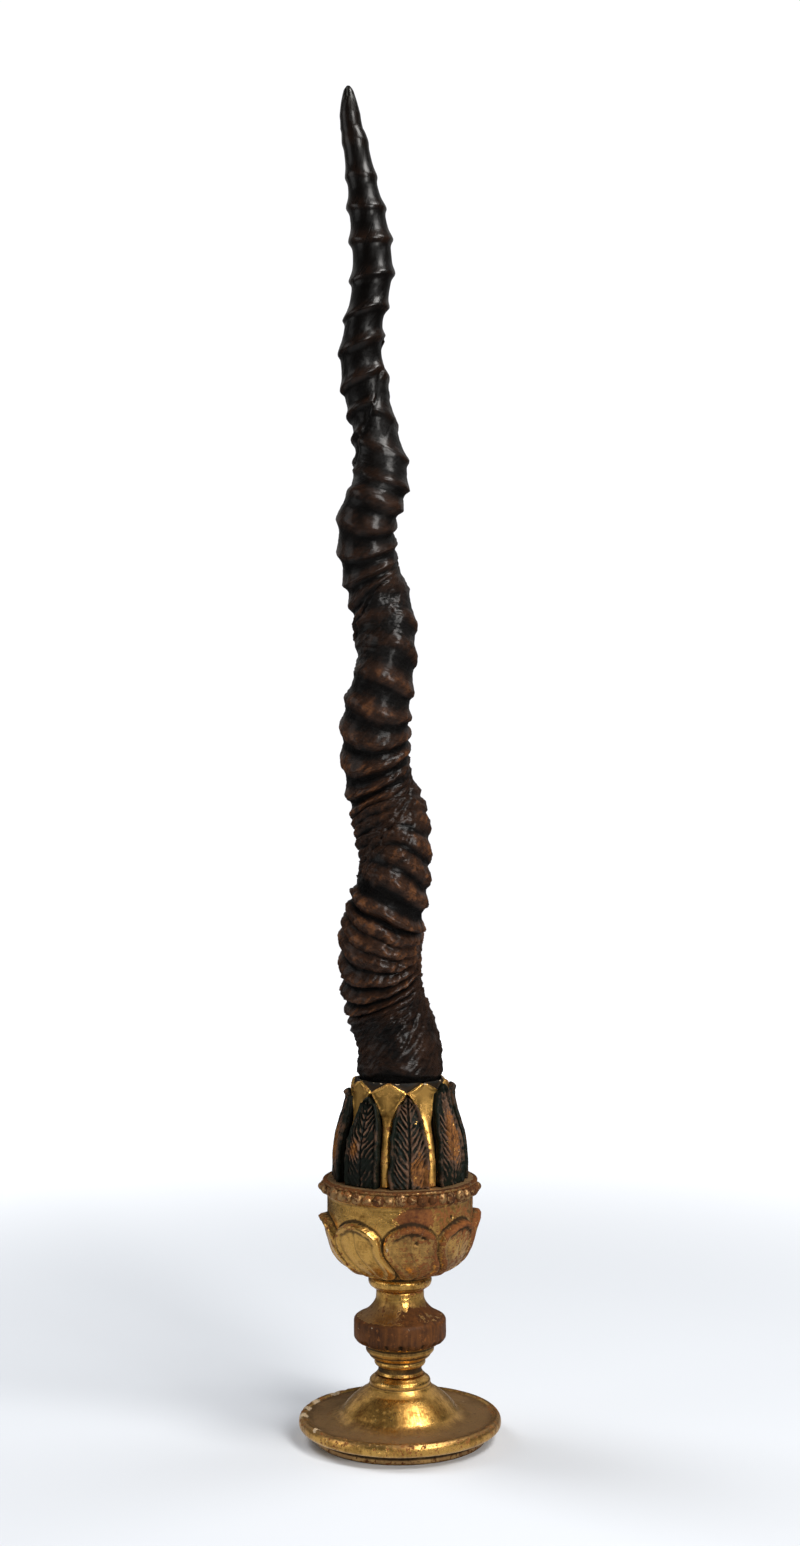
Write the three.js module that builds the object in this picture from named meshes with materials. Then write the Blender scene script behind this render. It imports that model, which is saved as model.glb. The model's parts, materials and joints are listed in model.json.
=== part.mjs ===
// A spiral antelope horn standing in a carved and turned giltwood holder.
// Millimetres, +Z up. The origin is the middle of the foot's flat underside.

import * as THREE from 'three';

// ---------------------------------------------------------------- driving dimensions

const GAP = 0.3; // air left where two pieces meet
const SIDES = 8; // leaves, petals and lower leaves round the holder
const LEAF_AZIMUTH = -81.6; // degrees, first leaf, counted from straight right
const SECTOR = 360 / SIDES;

// Horn
const HORN_BUTT_Z = 141.3; // hidden end, inside the socket
const HORN_EDGE_Z = 182; // where the rough lower edge shows above the socket
const HORN_TIP_Z = 675.5;
const HORN_PLUG_RADIUS = 20.1; // butt trimmed to fit the socket
const HORN_COLUMNS = 16;

// Radius of the horn at a few heights: [height, radius]
const HORN_RADIUS = [
  [182, 21.2], [230, 19.4], [284, 18.3], [340, 17.3], [394, 15.4], [444, 14.8],
  [494, 13.6], [544, 10.9], [594, 10.4], [634, 7.4], [654, 6], [668, 4], [675.5, 1.2],
];

// Heights at which the corkscrew lies furthest to one side, right and left in turn
const HALF_TURNS = [186, 242, 300, 350, 403, 452, 488, 542, 588, 675];

const MEAN_X = -3.4; // middle of the corkscrew at the socket
const LEAN = -0.034; // sideways drift of that middle for each millimetre of height

// How far the horn winds off its mean line: [height, distance]
const SPIRAL_RADIUS = [
  [190, 3.6], [260, 4.7], [340, 3.2], [420, 3.9], [500, 4.4], [580, 3.3], [655, 5.7],
];

// The horn is hollowed along a groove that runs this far round from its outer side
const GROOVE_AZIMUTH = 262;
const GROOVE_DEPTH = [[186, 0], [205, 0.15], [265, 0.22], [445, 0.22], [520, 0]]; // of the radius

// Slope of the rings across the horn, and how far round they have turned: [height, value]
const RING_SLOPE = [
  [182, 0], [190, 0.12], [215, 0.4], [250, 0.55], [290, 0.5], [310, 0.45], [430, 0.45],
  [483, 0.35], [548, 0.3], [580, 0.17], [615, 0.05], [676, 0],
];
const RING_TURN = [[470, 898], [483, 900], [515, 990], [548, 1080], [676, 1080]];

// Height of each growth ring, from the butt to the tip
const RINGS = [
  187, 193.5, 199.5, 205, 210.5, 216, 222, 230.5, 239, 247.5, 253.5, 259.5, 265.5, 277,
  286, 294.5, 303.5, 311.5, 318, 328, 341.5, 353.5, 365.5, 378.5, 393, 405, 421, 432.5,
  445, 457.5, 468, 478, 492.5, 508.5, 527, 545, 561, 579, 598, 615, 631, 648, 662,
];

// How far a ring stands above the hollows beside it: [height, relief]
const RING_RELIEF = [
  [186, 0.5], [222, 1.3], [320, 2.2], [400, 1.6], [520, 2.1], [600, 2.1], [640, 0.6], [662, 0.2],
];

// Holder, from the floor up
const PLINTH_RADIUS = 43;
const FOOT_RADIUS = 50.5;
const FOOT_TOP_Z = 32;
const STEM_TOP_Z = 74.8;
const KNOP_RADIUS = 23;
const TENON_RADIUS = 8; // round tenons of the stem
const TENON_LENGTH = 12;
const CUP_TOP_Z = 130;
const CUP_RADIUS = 36.3; // plain wall of the cup
const RIM_RADIUS = 38.7;
const BEAD_RADIUS = 2.7;
const LOWER_LEAF_TIP_Z = 111;
const LOWER_LEAF_RELIEF = 2.2;
const LOWER_LEAF_HALF_WIDTH = 23; // degrees round the cup
const LOWER_LEAF_TIP_HALF_WIDTH = 12;
const COLLAR_TOP_Z = 82; // the lower leaves start above the cup's collar
const COLLAR_RADIUS = 15.5;
const CALYX_TENON_RADIUS = 12;
const CALYX_RADIUS = 29.8; // where the calyx stands on the cup
const SOCKET_TOP_Z = 180;
const SOCKET_RADIUS = 20.8;
const SOCKET_FLOOR_Z = 141;
const PETAL_RELIEF = 1;
const PETAL_HALF_WIDTH = 9; // degrees round the calyx
const PETAL_HEAD_HALF_WIDTH = 17; // degrees, of the heads that petals widen into
const PETAL_HEAD_Z = 165;
const LEAF_THICKNESS = 2.6;
const LEAF_TIP_HALF_WIDTH = 3; // degrees round the calyx
const LEAF_FOOT_HALF_WIDTH = 17;
const LEAF_EDGE_LIFT = 0.6; // edges stand this far off the calyx
const LEAF_TIP_RISE = [-3, 3, 1, -1, 2, 0, -1, -3]; // each tip above or below the others

// ---------------------------------------------------------------- materials

const finish = (color, roughness, metalness) =>
  new THREE.MeshStandardMaterial({ color, roughness, metalness });

const HORN_FINISH = finish(0x1c1613, 0.4, 0);
const GILDING = finish(0xa87c34, 0.4, 0.8);
const DARK_PAINT = finish(0x23261f, 0.6, 0);

// ---------------------------------------------------------------- helpers

const radians = THREE.MathUtils.degToRad;

/** Value at a height, read between the [height, value] pairs of a short list. */
function along(pairs, height) {
  if (height <= pairs[0][0]) {
    return pairs[0][1];
  }
  const upper = pairs.findIndex(([at]) => at > height);
  if (upper < 0) {
    return pairs[pairs.length - 1][1];
  }
  const [lowAt, low] = pairs[upper - 1];
  const [highAt, high] = pairs[upper];
  return THREE.MathUtils.mapLinear(height, lowAt, highAt, low, high);
}

/** Moves every vertex of a geometry to where the given rule puts it. */
function reshape(geometry, rule) {
  const position = geometry.attributes.position;
  const point = new THREE.Vector3();
  for (let i = 0; i < position.count; i += 1) {
    point.fromBufferAttribute(position, i);
    rule(point);
    position.setXYZ(i, point.x, point.y, point.z);
  }
  geometry.computeVertexNormals();
  return geometry;
}

/** Solid of revolution about +Z from an outline of Vector2(radius, height), bottom to top. */
function turn(outline, segments, firstAzimuth = 0) {
  const geometry = new THREE.LatheGeometry(outline, segments);
  geometry.rotateX(Math.PI / 2);
  geometry.rotateZ(radians(firstAzimuth) + Math.PI / 2);
  return geometry;
}

function piece(name, geometry, material) {
  const mesh = new THREE.Mesh(geometry, material);
  mesh.name = name;
  return mesh;
}

// ---------------------------------------------------------------- horn

/** Azimuth, in degrees, of the side the corkscrew leans to at a height. */
function spiralAzimuth(z) {
  const stations = HALF_TURNS.map((at, i) => [at, 180 * i]);
  if (z < HALF_TURNS[0]) {
    return -180 * (HALF_TURNS[0] - z) / (HALF_TURNS[1] - HALF_TURNS[0]);
  }
  return along(stations, z);
}

/** Azimuth of the side on which a ring stands highest. */
function ringAzimuth(z) {
  return z < RING_TURN[0][0] ? spiralAzimuth(z) - 90 : along(RING_TURN, z);
}

/** Middle of the horn at a height. The butt stands on the holder's own axis. */
function hornCentre(z) {
  const azimuth = radians(spiralAzimuth(z));
  const winding = along(SPIRAL_RADIUS, z);
  const free = THREE.MathUtils.smoothstep(z, HORN_EDGE_Z - 8, HORN_EDGE_Z + 6);
  const x = MEAN_X + LEAN * (z - HORN_EDGE_Z) + winding * Math.cos(azimuth);
  return new THREE.Vector2(x, winding * Math.sin(azimuth)).multiplyScalar(free);
}

/** Outline of the straightened horn: the butt, one crest and one hollow per ring, the tip. */
function hornOutline() {
  const outline = [
    new THREE.Vector2(0, HORN_BUTT_Z),
    new THREE.Vector2(HORN_PLUG_RADIUS, HORN_BUTT_Z),
    new THREE.Vector2(HORN_PLUG_RADIUS, HORN_EDGE_Z),
    new THREE.Vector2(along(HORN_RADIUS, HORN_EDGE_Z), HORN_EDGE_Z + 1.5),
  ];
  RINGS.forEach((crest, i) => {
    const next = RINGS[i + 1] ?? HORN_TIP_Z - 6;
    const relief = along(RING_RELIEF, crest);
    outline.push(new THREE.Vector2(along(HORN_RADIUS, crest) + relief / 2, crest));
    const hollow = (crest + next) / 2;
    outline.push(new THREE.Vector2(along(HORN_RADIUS, hollow) - relief / 2, hollow));
  });
  outline.push(new THREE.Vector2(along(HORN_RADIUS, HORN_TIP_Z - 4), HORN_TIP_Z - 4));
  outline.push(new THREE.Vector2(0, HORN_TIP_Z));
  return outline;
}

/** Grooves the straight horn, tilts each level to its rings' slope and winds it round. */
function wind(point) {
  const z = point.z;
  const groove = radians(spiralAzimuth(z) + GROOVE_AZIMUTH);
  const towardsGroove = Math.max(0, Math.cos(Math.atan2(point.y, point.x) - groove));
  const hollow = 1 - along(GROOVE_DEPTH, z) * towardsGroove ** 2;
  point.x *= hollow;
  point.y *= hollow;
  const high = radians(ringAzimuth(z));
  const slope = along(RING_SLOPE, z);
  const centre = hornCentre(z);
  point.z = z + slope * (point.x * Math.cos(high) + point.y * Math.sin(high));
  point.x += centre.x;
  point.y += centre.y;
}

function horn() {
  return piece('horn', reshape(turn(hornOutline(), HORN_COLUMNS), wind), HORN_FINISH);
}

// ---------------------------------------------------------------- calyx

/** 1 on the middle of a petal or leaf, falling to 0 at the given half width in degrees. */
function ridge(point, middleAzimuth, halfWidth) {
  const azimuth = THREE.MathUtils.radToDeg(Math.atan2(point.y, point.x)) - middleAzimuth;
  const offset = Math.abs(THREE.MathUtils.euclideanModulo(azimuth + SECTOR / 2, SECTOR) - SECTOR / 2);
  return Math.max(0, 1 - offset / halfWidth);
}

function calyxOutline() {
  const side = new THREE.SplineCurve([
    new THREE.Vector2(CALYX_RADIUS, CUP_TOP_Z + 8),
    new THREE.Vector2(28.8, 146),
    new THREE.Vector2(25.6, 158),
    new THREE.Vector2(23.2, 168),
    new THREE.Vector2(22.2, SOCKET_TOP_Z),
  ]);
  const bottom = CUP_TOP_Z + GAP;
  return [
    new THREE.Vector2(0, bottom - TENON_LENGTH),
    new THREE.Vector2(CALYX_TENON_RADIUS, bottom - TENON_LENGTH),
    new THREE.Vector2(CALYX_TENON_RADIUS, bottom),
    new THREE.Vector2(CALYX_RADIUS, bottom),
    ...side.getPoints(6),
    new THREE.Vector2(SOCKET_RADIUS, SOCKET_TOP_Z),
    new THREE.Vector2(SOCKET_RADIUS, SOCKET_FLOOR_Z),
    new THREE.Vector2(0, SOCKET_FLOOR_Z),
  ];
}

/** Raises the petals between the leaves. They widen into heads under the socket's rim. */
function raisePetals(point) {
  const radius = Math.hypot(point.x, point.y);
  const outside = radius > SOCKET_RADIUS + 0.5 && point.z > CUP_TOP_Z + 1 && point.z < SOCKET_TOP_Z - 1;
  if (!outside) {
    return;
  }
  const halfWidth = point.z > PETAL_HEAD_Z ? PETAL_HEAD_HALF_WIDTH : PETAL_HALF_WIDTH;
  const raised = PETAL_RELIEF * ridge(point, LEAF_AZIMUTH + SECTOR / 2, halfWidth);
  const scale = 1 + raised / radius;
  point.x *= scale;
  point.y *= scale;
}

function calyx() {
  const geometry = turn(calyxOutline(), 6 * SIDES, LEAF_AZIMUTH);
  return piece('calyx', reshape(geometry, raisePetals), GILDING);
}

/** Outer face of a leaf, as Vector2(radius, height) from its foot to its curled tip. */
const LEAF_SPINE = new THREE.SplineCurve([
  new THREE.Vector2(33, CUP_TOP_Z + GAP),
  new THREE.Vector2(33, 140),
  new THREE.Vector2(32, 150),
  new THREE.Vector2(29.4, 159),
  new THREE.Vector2(26.6, 167.5),
  new THREE.Vector2(26, 171.5),
  new THREE.Vector2(26.6, 176),
]);

/** One carved leaf: a slab bent round the calyx, narrowing to a tip that stands free. */
function calyxLeaf(index) {
  const azimuth = LEAF_AZIMUTH + SECTOR * index;
  const rise = LEAF_TIP_RISE[index];
  const slab = new THREE.BoxGeometry(2, 1, 1, 4, 1, 6);
  const bend = (point) => {
    const up = point.z + 0.5;
    const spine = LEAF_SPINE.getPoint(up);
    const breadth = Math.sqrt(1 - up ** 2.6);
    const halfAngle = THREE.MathUtils.lerp(LEAF_TIP_HALF_WIDTH, LEAF_FOOT_HALF_WIDTH, breadth);
    const angle = radians(azimuth - point.x * halfAngle);
    const lift = LEAF_EDGE_LIFT * point.x ** 2;
    const radius = spine.x + lift - LEAF_THICKNESS * (0.5 - point.y);
    point.set(radius * Math.cos(angle), radius * Math.sin(angle), spine.y + rise * up ** 4);
  };
  return piece(`calyx_leaf_${index + 1}`, reshape(slab, bend), DARK_PAINT);
}

function calyxLeaves() {
  const group = new THREE.Group();
  for (let index = 0; index < SIDES; index += 1) {
    group.add(calyxLeaf(index));
  }
  return group;
}

// ---------------------------------------------------------------- cup

function cupOutline() {
  const bottom = STEM_TOP_Z + GAP;
  const beadZ = CUP_TOP_Z - 4.4;
  const beadMiddle = RIM_RADIUS - 1.2;
  const outline = new THREE.Path();
  outline.moveTo(0, bottom + TENON_LENGTH);
  outline.lineTo(TENON_RADIUS, bottom + TENON_LENGTH);
  outline.lineTo(TENON_RADIUS, bottom);
  outline.lineTo(13, bottom);
  outline.quadraticCurveTo(17, bottom + 3, 13.5, bottom + 6.3);
  outline.lineTo(COLLAR_RADIUS + 0.1, COLLAR_TOP_Z + 0.6);
  outline.quadraticCurveTo(26, 84.5, 31.4, 93);
  outline.quadraticCurveTo(36, 101, CUP_RADIUS, 113);
  outline.lineTo(CUP_RADIUS, 122);
  outline.lineTo(beadMiddle, beadZ - BEAD_RADIUS);
  outline.absarc(beadMiddle, beadZ, BEAD_RADIUS, -Math.PI / 2, Math.PI / 2, false);
  outline.lineTo(RIM_RADIUS, CUP_TOP_Z - 1);
  outline.lineTo(RIM_RADIUS - 0.6, CUP_TOP_Z);
  outline.lineTo(CALYX_TENON_RADIUS + GAP, CUP_TOP_Z);
  outline.lineTo(CALYX_TENON_RADIUS + GAP, CUP_TOP_Z - TENON_LENGTH);
  outline.lineTo(0, CUP_TOP_Z - TENON_LENGTH);
  return outline.getPoints(2);
}

/** Raises the lower leaves, which clasp the bowl from its collar up to their turned-out tips. */
function raiseLowerLeaves(point) {
  const radius = Math.hypot(point.x, point.y);
  if (radius < COLLAR_RADIUS || point.z < COLLAR_TOP_Z || point.z > LOWER_LEAF_TIP_Z) {
    return;
  }
  const atTip = point.z > LOWER_LEAF_TIP_Z - 5;
  const halfWidth = atTip ? LOWER_LEAF_TIP_HALF_WIDTH : LOWER_LEAF_HALF_WIDTH;
  const raised = LOWER_LEAF_RELIEF * Math.sqrt(ridge(point, LEAF_AZIMUTH, halfWidth));
  const scale = 1 + raised / radius;
  point.x *= scale;
  point.y *= scale;
}

function cup() {
  const geometry = turn(cupOutline(), 6 * SIDES, LEAF_AZIMUTH);
  return piece('cup', reshape(geometry, raiseLowerLeaves), GILDING);
}

// ---------------------------------------------------------------- stem and foot

function stem() {
  const bottom = FOOT_TOP_Z + GAP;
  const outline = new THREE.Path();
  outline.moveTo(0, bottom - TENON_LENGTH);
  outline.lineTo(TENON_RADIUS - GAP, bottom - TENON_LENGTH);
  outline.lineTo(TENON_RADIUS - GAP, bottom);
  outline.lineTo(12, bottom);
  outline.quadraticCurveTo(9.6, 35, 12.4, 37.6);
  outline.quadraticCurveTo(14, 39, 13, 40.4);
  outline.lineTo(15.2, 41.6);
  outline.quadraticCurveTo(18, 43.6, 17, 46);
  outline.lineTo(21.4, 49.2);
  outline.lineTo(KNOP_RADIUS, 50.6);
  outline.lineTo(KNOP_RADIUS, 59.4);
  outline.quadraticCurveTo(KNOP_RADIUS - 0.2, 60.6, 21.4, 61);
  outline.quadraticCurveTo(14.6, 63.8, 11.9, 69.4);
  outline.lineTo(11.7, STEM_TOP_Z);
  outline.lineTo(TENON_RADIUS - GAP, STEM_TOP_Z);
  outline.lineTo(TENON_RADIUS - GAP, STEM_TOP_Z + TENON_LENGTH);
  outline.lineTo(0, STEM_TOP_Z + TENON_LENGTH);
  return piece('stem', turn(outline.getPoints(2), 28), GILDING);
}

function foot() {
  const outline = new THREE.Path();
  outline.moveTo(0, 0);
  outline.lineTo(PLINTH_RADIUS, 0);
  outline.lineTo(PLINTH_RADIUS, 4.6);
  outline.lineTo(47.5, 5.6);
  outline.quadraticCurveTo(FOOT_RADIUS, 6.6, FOOT_RADIUS, 9.3);
  outline.lineTo(48.5, 12.3);
  outline.lineTo(46.6, 11.4);
  outline.quadraticCurveTo(34, 10.2, 30.5, 14);
  outline.quadraticCurveTo(26, 20, 19.5, 24.2);
  outline.lineTo(14.4, 27.4);
  outline.quadraticCurveTo(13.4, 28, 13.8, 28.4);
  outline.quadraticCurveTo(15, 30.4, 12.8, FOOT_TOP_Z);
  outline.lineTo(TENON_RADIUS, FOOT_TOP_Z);
  outline.lineTo(TENON_RADIUS, FOOT_TOP_Z - TENON_LENGTH);
  outline.lineTo(0, FOOT_TOP_Z - TENON_LENGTH);
  return piece('foot', turn(outline.getPoints(3), 36), GILDING);
}

// ---------------------------------------------------------------- assembly

const hornOnStand = new THREE.Group();
hornOnStand.add(foot(), stem(), cup(), calyx(), calyxLeaves(), horn());

export default hornOnStand;
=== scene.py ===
"""A spiral antelope horn in a carved, turned and gilded wooden holder.

The script is laid out as an add-on: property groups for the sizes and colours, one operator for each
piece or group of like pieces, one for the stage, and a panel that lists them.
Lists of sizes are in millimetres, and the finished meshes are in metres.
"""

import json
import math

import bpy
import numpy as np
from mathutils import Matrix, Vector

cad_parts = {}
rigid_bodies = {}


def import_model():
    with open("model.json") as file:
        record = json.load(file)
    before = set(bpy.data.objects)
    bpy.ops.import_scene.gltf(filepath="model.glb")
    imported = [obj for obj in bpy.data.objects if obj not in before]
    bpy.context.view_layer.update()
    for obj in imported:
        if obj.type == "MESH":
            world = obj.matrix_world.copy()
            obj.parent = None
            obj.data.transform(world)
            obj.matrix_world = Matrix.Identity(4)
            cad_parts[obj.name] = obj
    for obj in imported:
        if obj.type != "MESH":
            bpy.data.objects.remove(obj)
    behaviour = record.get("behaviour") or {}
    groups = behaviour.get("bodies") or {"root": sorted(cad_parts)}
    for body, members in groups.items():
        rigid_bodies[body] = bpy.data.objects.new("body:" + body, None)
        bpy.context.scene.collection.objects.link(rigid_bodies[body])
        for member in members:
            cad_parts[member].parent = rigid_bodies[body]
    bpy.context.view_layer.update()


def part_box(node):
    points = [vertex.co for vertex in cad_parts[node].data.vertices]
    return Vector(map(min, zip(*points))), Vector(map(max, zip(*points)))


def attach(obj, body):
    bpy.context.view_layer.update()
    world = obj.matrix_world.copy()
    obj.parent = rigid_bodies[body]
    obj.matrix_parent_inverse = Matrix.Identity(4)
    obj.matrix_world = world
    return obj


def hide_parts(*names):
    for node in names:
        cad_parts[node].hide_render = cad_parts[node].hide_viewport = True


bl_info = {
    "name": "Antelope Horn in Holder",
    "version": (1, 0, 0),
    "blender": (4, 5, 0),
    "location": "View3D > Sidebar > Horn",
    "description": "Builds a spiral antelope horn and its gilded holder",
    "category": "Add Mesh",
}

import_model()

MM = 0.001
DEGREE = math.radians(1)
FRONT = -90.0  # degrees from straight right
SIDES = 8
SECTOR = 360 / SIDES
LEAF_AZIMUTH = -81.6  # degrees from straight right, of the front leaf

# ---------------------------------------------------------------- the horn's rule, by height

EDGE_Z = 182.0  # rough lower edge, just above the socket
TIP_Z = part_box("horn")[1].z / MM
BUTT_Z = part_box("horn")[0].z / MM
PLUG_RADIUS = 19.2  # of the butt, out of sight in the socket

# Radius of the horn before its rings and grooves are cut
HORN_RADIUS = [
    (182, 21.2), (230, 19.4), (284, 18.3), (340, 17.3), (394, 15.4), (444, 14.8), (494, 13.6),
    (544, 10.9), (594, 10.4), (634, 7.4), (654, 6.0), (665, 4.5), (672, 2.9), (675, 1.7), (675.5, 0.9),
]
# Heights at which the corkscrew lies furthest to one side, right and left in turn
HALF_TURNS = [186, 242, 300, 350, 403, 452, 488, 542, 588, 675]
MEAN_X = -3.4  # middle of the corkscrew at the socket
LEAN = -0.034  # its sideways drift for each millimetre of height
# Middle, in degrees, of the side where the horn's edge stands clear of the socket
GAP_AZIMUTH = -104
# How far the horn winds off its mean line
SPIRAL_RADIUS = [(190, 3.6), (260, 4.7), (340, 3.2), (420, 3.9), (500, 4.4), (580, 3.3), (655, 5.7)]
# The groove, counted round from the outer side of the corkscrew, and its depth as a share of the radius
GROOVE_AZIMUTH = 262
GROOVE_DEPTH = [(186, 0), (205, 0.15), (265, 0.22), (445, 0.22), (520, 0)]
# Azimuth of the sharp crease, in degrees and unwound, and its depth in millimetres
CREASE_TURN = [
    (186, -110), (204, -60), (222, 0), (288.5, 230), (329.5, 360), (418, 610), (433.5, 720), (527, 1040),
    (541, 1080), (580, 1190),
]
CREASE_DEPTH = [
    (184, 0), (196, 0.6), (230, 1.5), (330, 1.5), (420, 0.9), (480, 0.75), (520, 0.45), (560, 0),
]
# How far the crease, the roll beside it and the curl of the rings reach, in square millimetres
CREASE_SPREAD = 2.6
ROLL_SPREAD = 30.0
CURL_SPREAD = 45.0
# Rings rise by this much where they run into the crease
RING_CURL = [(184, 0), (230, 5), (300, 8), (400, 7), (480, 5), (560, 2), (600, 0)]
# Slope of the rings, and the side on which they stand highest above height 470, in degrees
RING_SLOPE = [
    (182, 0), (190, 0.12), (215, 0.4), (250, 0.55), (290, 0.5), (310, 0.45), (430, 0.45),
    (483, 0.35), (548, 0.3), (580, 0.17), (615, 0.05), (676, 0),
]
RING_TURN = [(470, 898), (483, 900), (515, 990), (548, 1080), (676, 1080)]
# Height of each growth ring
RINGS = [
    187, 193.5, 199.5, 205, 210.5, 216, 222, 230.5, 239, 247.5, 253.5, 259.5, 265.5, 277,
    286, 294.5, 303.5, 311.5, 318, 328, 341.5, 353.5, 365.5, 378.5, 393, 405, 421, 432.5,
    445, 457.5, 468, 478, 492.5, 508.5, 527, 545, 561, 579, 598, 615, 631, 648, 662,
]
# How far a ring stands above the hollows beside it, and its half widths above and below its crest
RING_RELIEF = [
    (186, 0.6), (212, 1.3), (224, 3.1), (262, 3.4), (275, 2.4), (320, 2.4), (400, 2.0), (520, 2.1),
    (600, 1.9), (640, 0.8), (662, 0.35), (670, 0),
]
RING_UPPER_WIDTH = [
    (186, 2.0), (222, 3.0), (262, 3.0), (300, 3.3), (340, 4.0), (440, 3.8), (520, 3.9), (675, 4.4),
]
RING_LOWER_WIDTH = [
    (186, 1.6), (222, 2.7), (262, 2.6), (300, 2.6), (340, 2.7), (440, 2.2), (520, 2.1), (675, 2.3),
]
# 2 for a soft crest; a higher number makes a fuller roll with a narrower hollow
RING_FULLNESS = [(182, 2.2), (222, 2.7), (290, 2.6), (340, 2.2), (400, 1.9), (480, 1.6), (676, 1.9)]
# Depth of the beading on the crests and of the fine wrinkles between them
KNURLING = [(184, 0.6), (205, 1.6), (225, 3.0), (300, 2.4), (340, 1.4), (400, 0.7), (500, 0.1), (600, 0.0)]
WRINKLES = [(184, 1.7), (225, 2.7), (300, 2.8), (330, 2.2), (480, 1.0), (560, 0.15), (600, 0.0)]
# Depth of the wrinkles that run with the twist
TWISTED_WRINKLES = [
    (184, 4.0), (210, 3.6), (228, 1.9), (280, 1.2), (340, 1.0), (450, 0.7), (560, 0.15), (600, 0.0),
]

# ---------------------------------------------------------------- node trees

GEOMETRY = "NodeSocketGeometry"
MATERIAL = "NodeSocketMaterial"
SOCKET_KINDS = {int: "NodeSocketInt", float: "NodeSocketFloat"}


def socket_of(sockets, key):
    """A socket in use, by its place, identifier or name."""
    if isinstance(key, int):
        return sockets[key]
    for socket in sockets:
        if socket.enabled and key in (socket.identifier, socket.name):
            return socket
    raise KeyError(f"no socket {key!r} among {[s.name for s in sockets]}")


def feed(tree, socket, value):
    """Links a Wire, or a list of them, to a socket, or sets the socket's own value."""
    if isinstance(value, list):
        for wire in value:
            tree.links.new(wire.socket, socket)
    elif isinstance(value, Wire):
        tree.links.new(value.socket, socket)
    else:
        socket.default_value = value


def forward(operation):
    """A method that puts the Wire first and what it is given after it."""
    return lambda wire, *others: wire.maths(operation, wire, *others)


def backward(operation):
    return lambda wire, other: wire.maths(operation, other, wire)


class Wire:
    """An output socket. Arithmetic on it adds Math nodes to its tree."""

    def __init__(self, tree, socket):
        self.tree = tree
        self.socket = socket

    def maths(self, operation, *operands):
        node = self.tree.nodes.new("ShaderNodeMath")
        node.operation = operation
        for socket, value in zip(node.inputs, operands):
            feed(self.tree, socket, value)
        return Wire(self.tree, node.outputs[0])

    def __neg__(self):
        return self * -1.0

    __add__, __radd__ = forward("ADD"), backward("ADD")
    __sub__, __rsub__ = forward("SUBTRACT"), backward("SUBTRACT")
    __mul__, __rmul__ = forward("MULTIPLY"), backward("MULTIPLY")
    __truediv__ = forward("DIVIDE")
    __pow__ = forward("POWER")
    __gt__ = forward("GREATER_THAN")
    sin = forward("SINE")
    cos = forward("COSINE")
    exp = forward("EXPONENT")
    sqrt = forward("SQRT")
    round = forward("ROUND")
    size = forward("ABSOLUTE")
    at_least = forward("MAXIMUM")
    turned_to = forward("ARCTAN2")


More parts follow.
